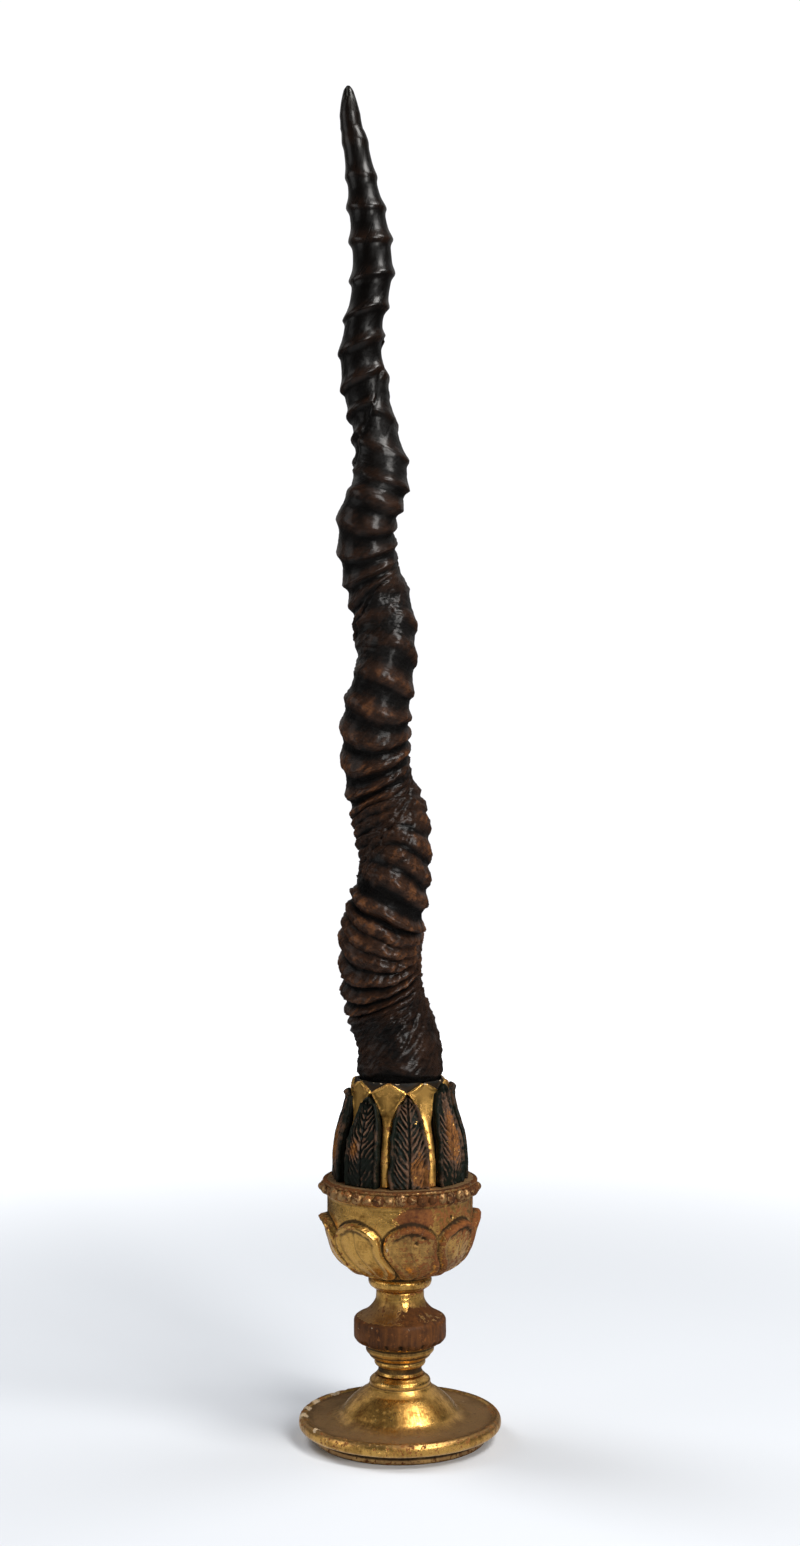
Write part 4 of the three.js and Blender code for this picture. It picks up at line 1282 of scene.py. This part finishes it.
class HORN_OT_leaves(bpy.types.Operator):
    """Carve the eight painted leaves round the calyx"""

    bl_idname = "horn.leaves"
    bl_label = "Leaves"

    def execute(self, context):
        sizes = context.scene.horn_sizes
        tree = leaf_tree()
        values = {
            "Thickness": sizes.leaf_thickness / MM,
            "Vein Spacing": sizes.vein_spacing / MM,
            "Material": painted_leaf(context.scene.horn_colours),
        }
        bare_place = ("Bare Side", "Bare Height", "Bare Reach", "Worn")
        for index in range(SIDES):
            values["Azimuth"] = LEAF_AZIMUTH + SECTOR * index
            values["Tip Rise"] = float(LEAF_TIP_RISE[index])
            values["Seed"] = 3.7 * index
            values.update(zip(bare_place, map(float, LEAF_BARE[index])))
            leaf = grow(f"leaf_{index + 1}_carved", tree, values)
            hand_over(leaf, f"calyx_leaf_{index + 1}")
        return {"FINISHED"}


class HORN_OT_horn(bpy.types.Operator):
    """Grow the spiral, ringed horn"""

    bl_idname = "horn.horn"
    bl_label = "Horn"

    def execute(self, context):
        sizes = context.scene.horn_sizes
        values = {
            "Columns": sizes.horn_columns,
            "Rows": sizes.horn_rows,
            "Material": grown_horn(context.scene.horn_colours),
        }
        hand_over(grow("horn_grown", horn_tree(), values), "horn")
        return {"FINISHED"}


class HORN_OT_stage(bpy.types.Operator):
    """Set up the pale floor, the soft lights and the camera"""

    bl_idname = "horn.stage"
    bl_label = "Stage"

    def execute(self, context):
        build_floor()
        build_lights()
        build_room()
        build_camera()
        context.scene.view_settings.view_transform = "Standard"
        return {"FINISHED"}


# ---------------------------------------------------------------- stage

FLOOR_RADIUS = 1.6
FLOOR_CORNERS = 96
CAMERA_PLACE = (0, -1.029, 0.332)
CAMERA_LENS = 47.92
LAMP_WHITE = (1.0, 0.98, 0.95)
PAPER_WHITE = (0.97, 0.985, 1.0)
# Name, place, what it points at, size, watts, colour, and what it lights: all, matt surfaces or gloss
LAMPS = [
    ("Key", (0.75, -1.25, 0.75), (0, 0, 0.3), (0.45, 0.75), 19, LAMP_WHITE, "all"),
    ("High key", (0.74, -0.52, 1.6), (0, 0, 0.3), (0.52, 0.52), 18, LAMP_WHITE, "all"),
    ("Fill", (-1.5, -0.45, 0.6), (0, 0, 0.3), (0.9, 1.2), 6, (1.0, 0.99, 0.98), "all"),
    ("Back left", (-1.1, 1.4, 1.1), (0, 0, 0.3), (1.3, 1.5), 2.5, LAMP_WHITE, "all"),
    ("Back right", (1.1, 1.4, 1.1), (0, 0, 0.3), (1.3, 1.5), 2.5, LAMP_WHITE, "all"),
    ("Floor left", (-1.2, 0.6, 1.7), (-0.5, 0.1, 0), (0.8, 1.2), 24, PAPER_WHITE, "matt"),
    ("Floor right", (1.2, 0.6, 1.7), (0.4, 0.2, 0), (0.8, 1.2), 11, PAPER_WHITE, "matt"),
    ("Floor bounce", (0, -0.12, 0.0005), (0, -0.12, 1), (0.9, 0.8), 1.0, PAPER_WHITE, "gloss"),
]


def placed(name, data, place, turn):
    """An object in the scene, at its place and turned."""
    holder = bpy.data.objects.new(name, data)
    holder.location = place
    holder.rotation_euler = turn
    bpy.context.scene.collection.objects.link(holder)
    return holder


def build_floor():
    """A round pale floor that fades to white towards its edge."""
    turns = [2 * math.pi * i / FLOOR_CORNERS for i in range(FLOOR_CORNERS)]
    points = [(FLOOR_RADIUS * math.cos(turn), FLOOR_RADIUS * math.sin(turn), 0.0) for turn in turns]
    mesh = bpy.data.meshes.new("Floor")
    mesh.from_pydata(points, [], [tuple(range(FLOOR_CORNERS))])
    material, nodes, shader = finish("Pale paper")
    x, y, _ = nodes.parts(object_place(nodes))
    edge = nodes.rescale((x * x + y * y).sqrt(), 0.3, 1.35, smooth=True)
    join(nodes, shader, Emission_Color=nodes.blend(edge, (0, 0, 0, 1), (0.95, 0.95, 0.95, 1)))
    shader.inputs["Emission Strength"].default_value = 1.0
    shader.inputs["Base Color"].default_value = (0.628, 0.652, 0.69, 1)
    shader.inputs["Roughness"].default_value = 0.9
    mesh.materials.append(material)
    floor = placed("Floor", mesh, (0, 0, 0), (0, 0, 0))
    floor.visible_glossy = False


def build_lights():
    """A soft key and a high key at the front right, weak fills, and the paper's own light in the gold."""
    for name, place, target, size, watts, colour, lights in LAMPS:
        light = bpy.data.lights.new(name, "AREA")
        light.shape = "RECTANGLE"
        light.size, light.size_y = size
        light.energy = watts
        light.color = colour
        aim = (Vector(target) - Vector(place)).to_track_quat("-Z", "Y").to_euler()
        lamp = placed(name, light, place, aim)
        lamp.visible_camera = False
        lamp.visible_glossy = lights != "matt"
        lamp.visible_diffuse = lights != "gloss"


def build_room():
    """White all round for the camera, and a dim room for everything else."""
    world = bpy.data.worlds.new("Studio")
    bpy.context.scene.world = world
    world.use_nodes = True
    nodes = Nodes(world.node_tree)
    sky = world.node_tree.nodes["Background"]
    seen = nodes.node("ShaderNodeLightPath")("Is Camera Ray")
    feed(nodes.tree, sky.inputs["Strength"], nodes.rescale(seen, 0.0, 1.0, 0.06, 1.05))
    sky.inputs["Color"].default_value = (0.98, 0.98, 1.0, 1)


def build_camera():
    """A level camera at half the height of horn and holder."""
    camera = bpy.data.cameras.new("Camera")
    camera.lens = CAMERA_LENS
    camera.sensor_width = 36
    bpy.context.scene.camera = placed("Camera", camera, CAMERA_PLACE, (90 * DEGREE, 0, 0))


# ---------------------------------------------------------------- panel and main


class HORN_PT_panel(bpy.types.Panel):
    """Lists the pieces in the order in which they are made"""

    bl_idname = "HORN_PT_panel"
    bl_label = "Antelope Horn"
    bl_space_type = "VIEW_3D"
    bl_region_type = "UI"
    bl_category = "Horn"

    def draw(self, context):
        for operator in OPERATORS:
            self.layout.operator(operator.bl_idname)


GROUPS = (HornSizes, HornColours)
OPERATORS = (
    HORN_OT_foot, HORN_OT_stem, HORN_OT_cup, HORN_OT_calyx, HORN_OT_leaves, HORN_OT_horn, HORN_OT_stage,
)


def register():
    for item in GROUPS + OPERATORS + (HORN_PT_panel,):
        bpy.utils.register_class(item)
    bpy.types.Scene.horn_sizes = bpy.props.PointerProperty(type=HornSizes)
    bpy.types.Scene.horn_colours = bpy.props.PointerProperty(type=HornColours)


def unregister():
    del bpy.types.Scene.horn_colours
    del bpy.types.Scene.horn_sizes
    for item in reversed(GROUPS + OPERATORS + (HORN_PT_panel,)):
        bpy.utils.unregister_class(item)


def main():
    register()
    for item in list(bpy.context.scene.collection.objects):
        if item.type in {"CAMERA", "LIGHT"}:
            bpy.data.objects.remove(item)
    bpy.ops.horn.foot()
    bpy.ops.horn.stem()
    bpy.ops.horn.cup()
    bpy.ops.horn.calyx()
    bpy.ops.horn.leaves()
    bpy.ops.horn.horn()
    bpy.ops.horn.stage()


if __name__ == "__main__":
    main()
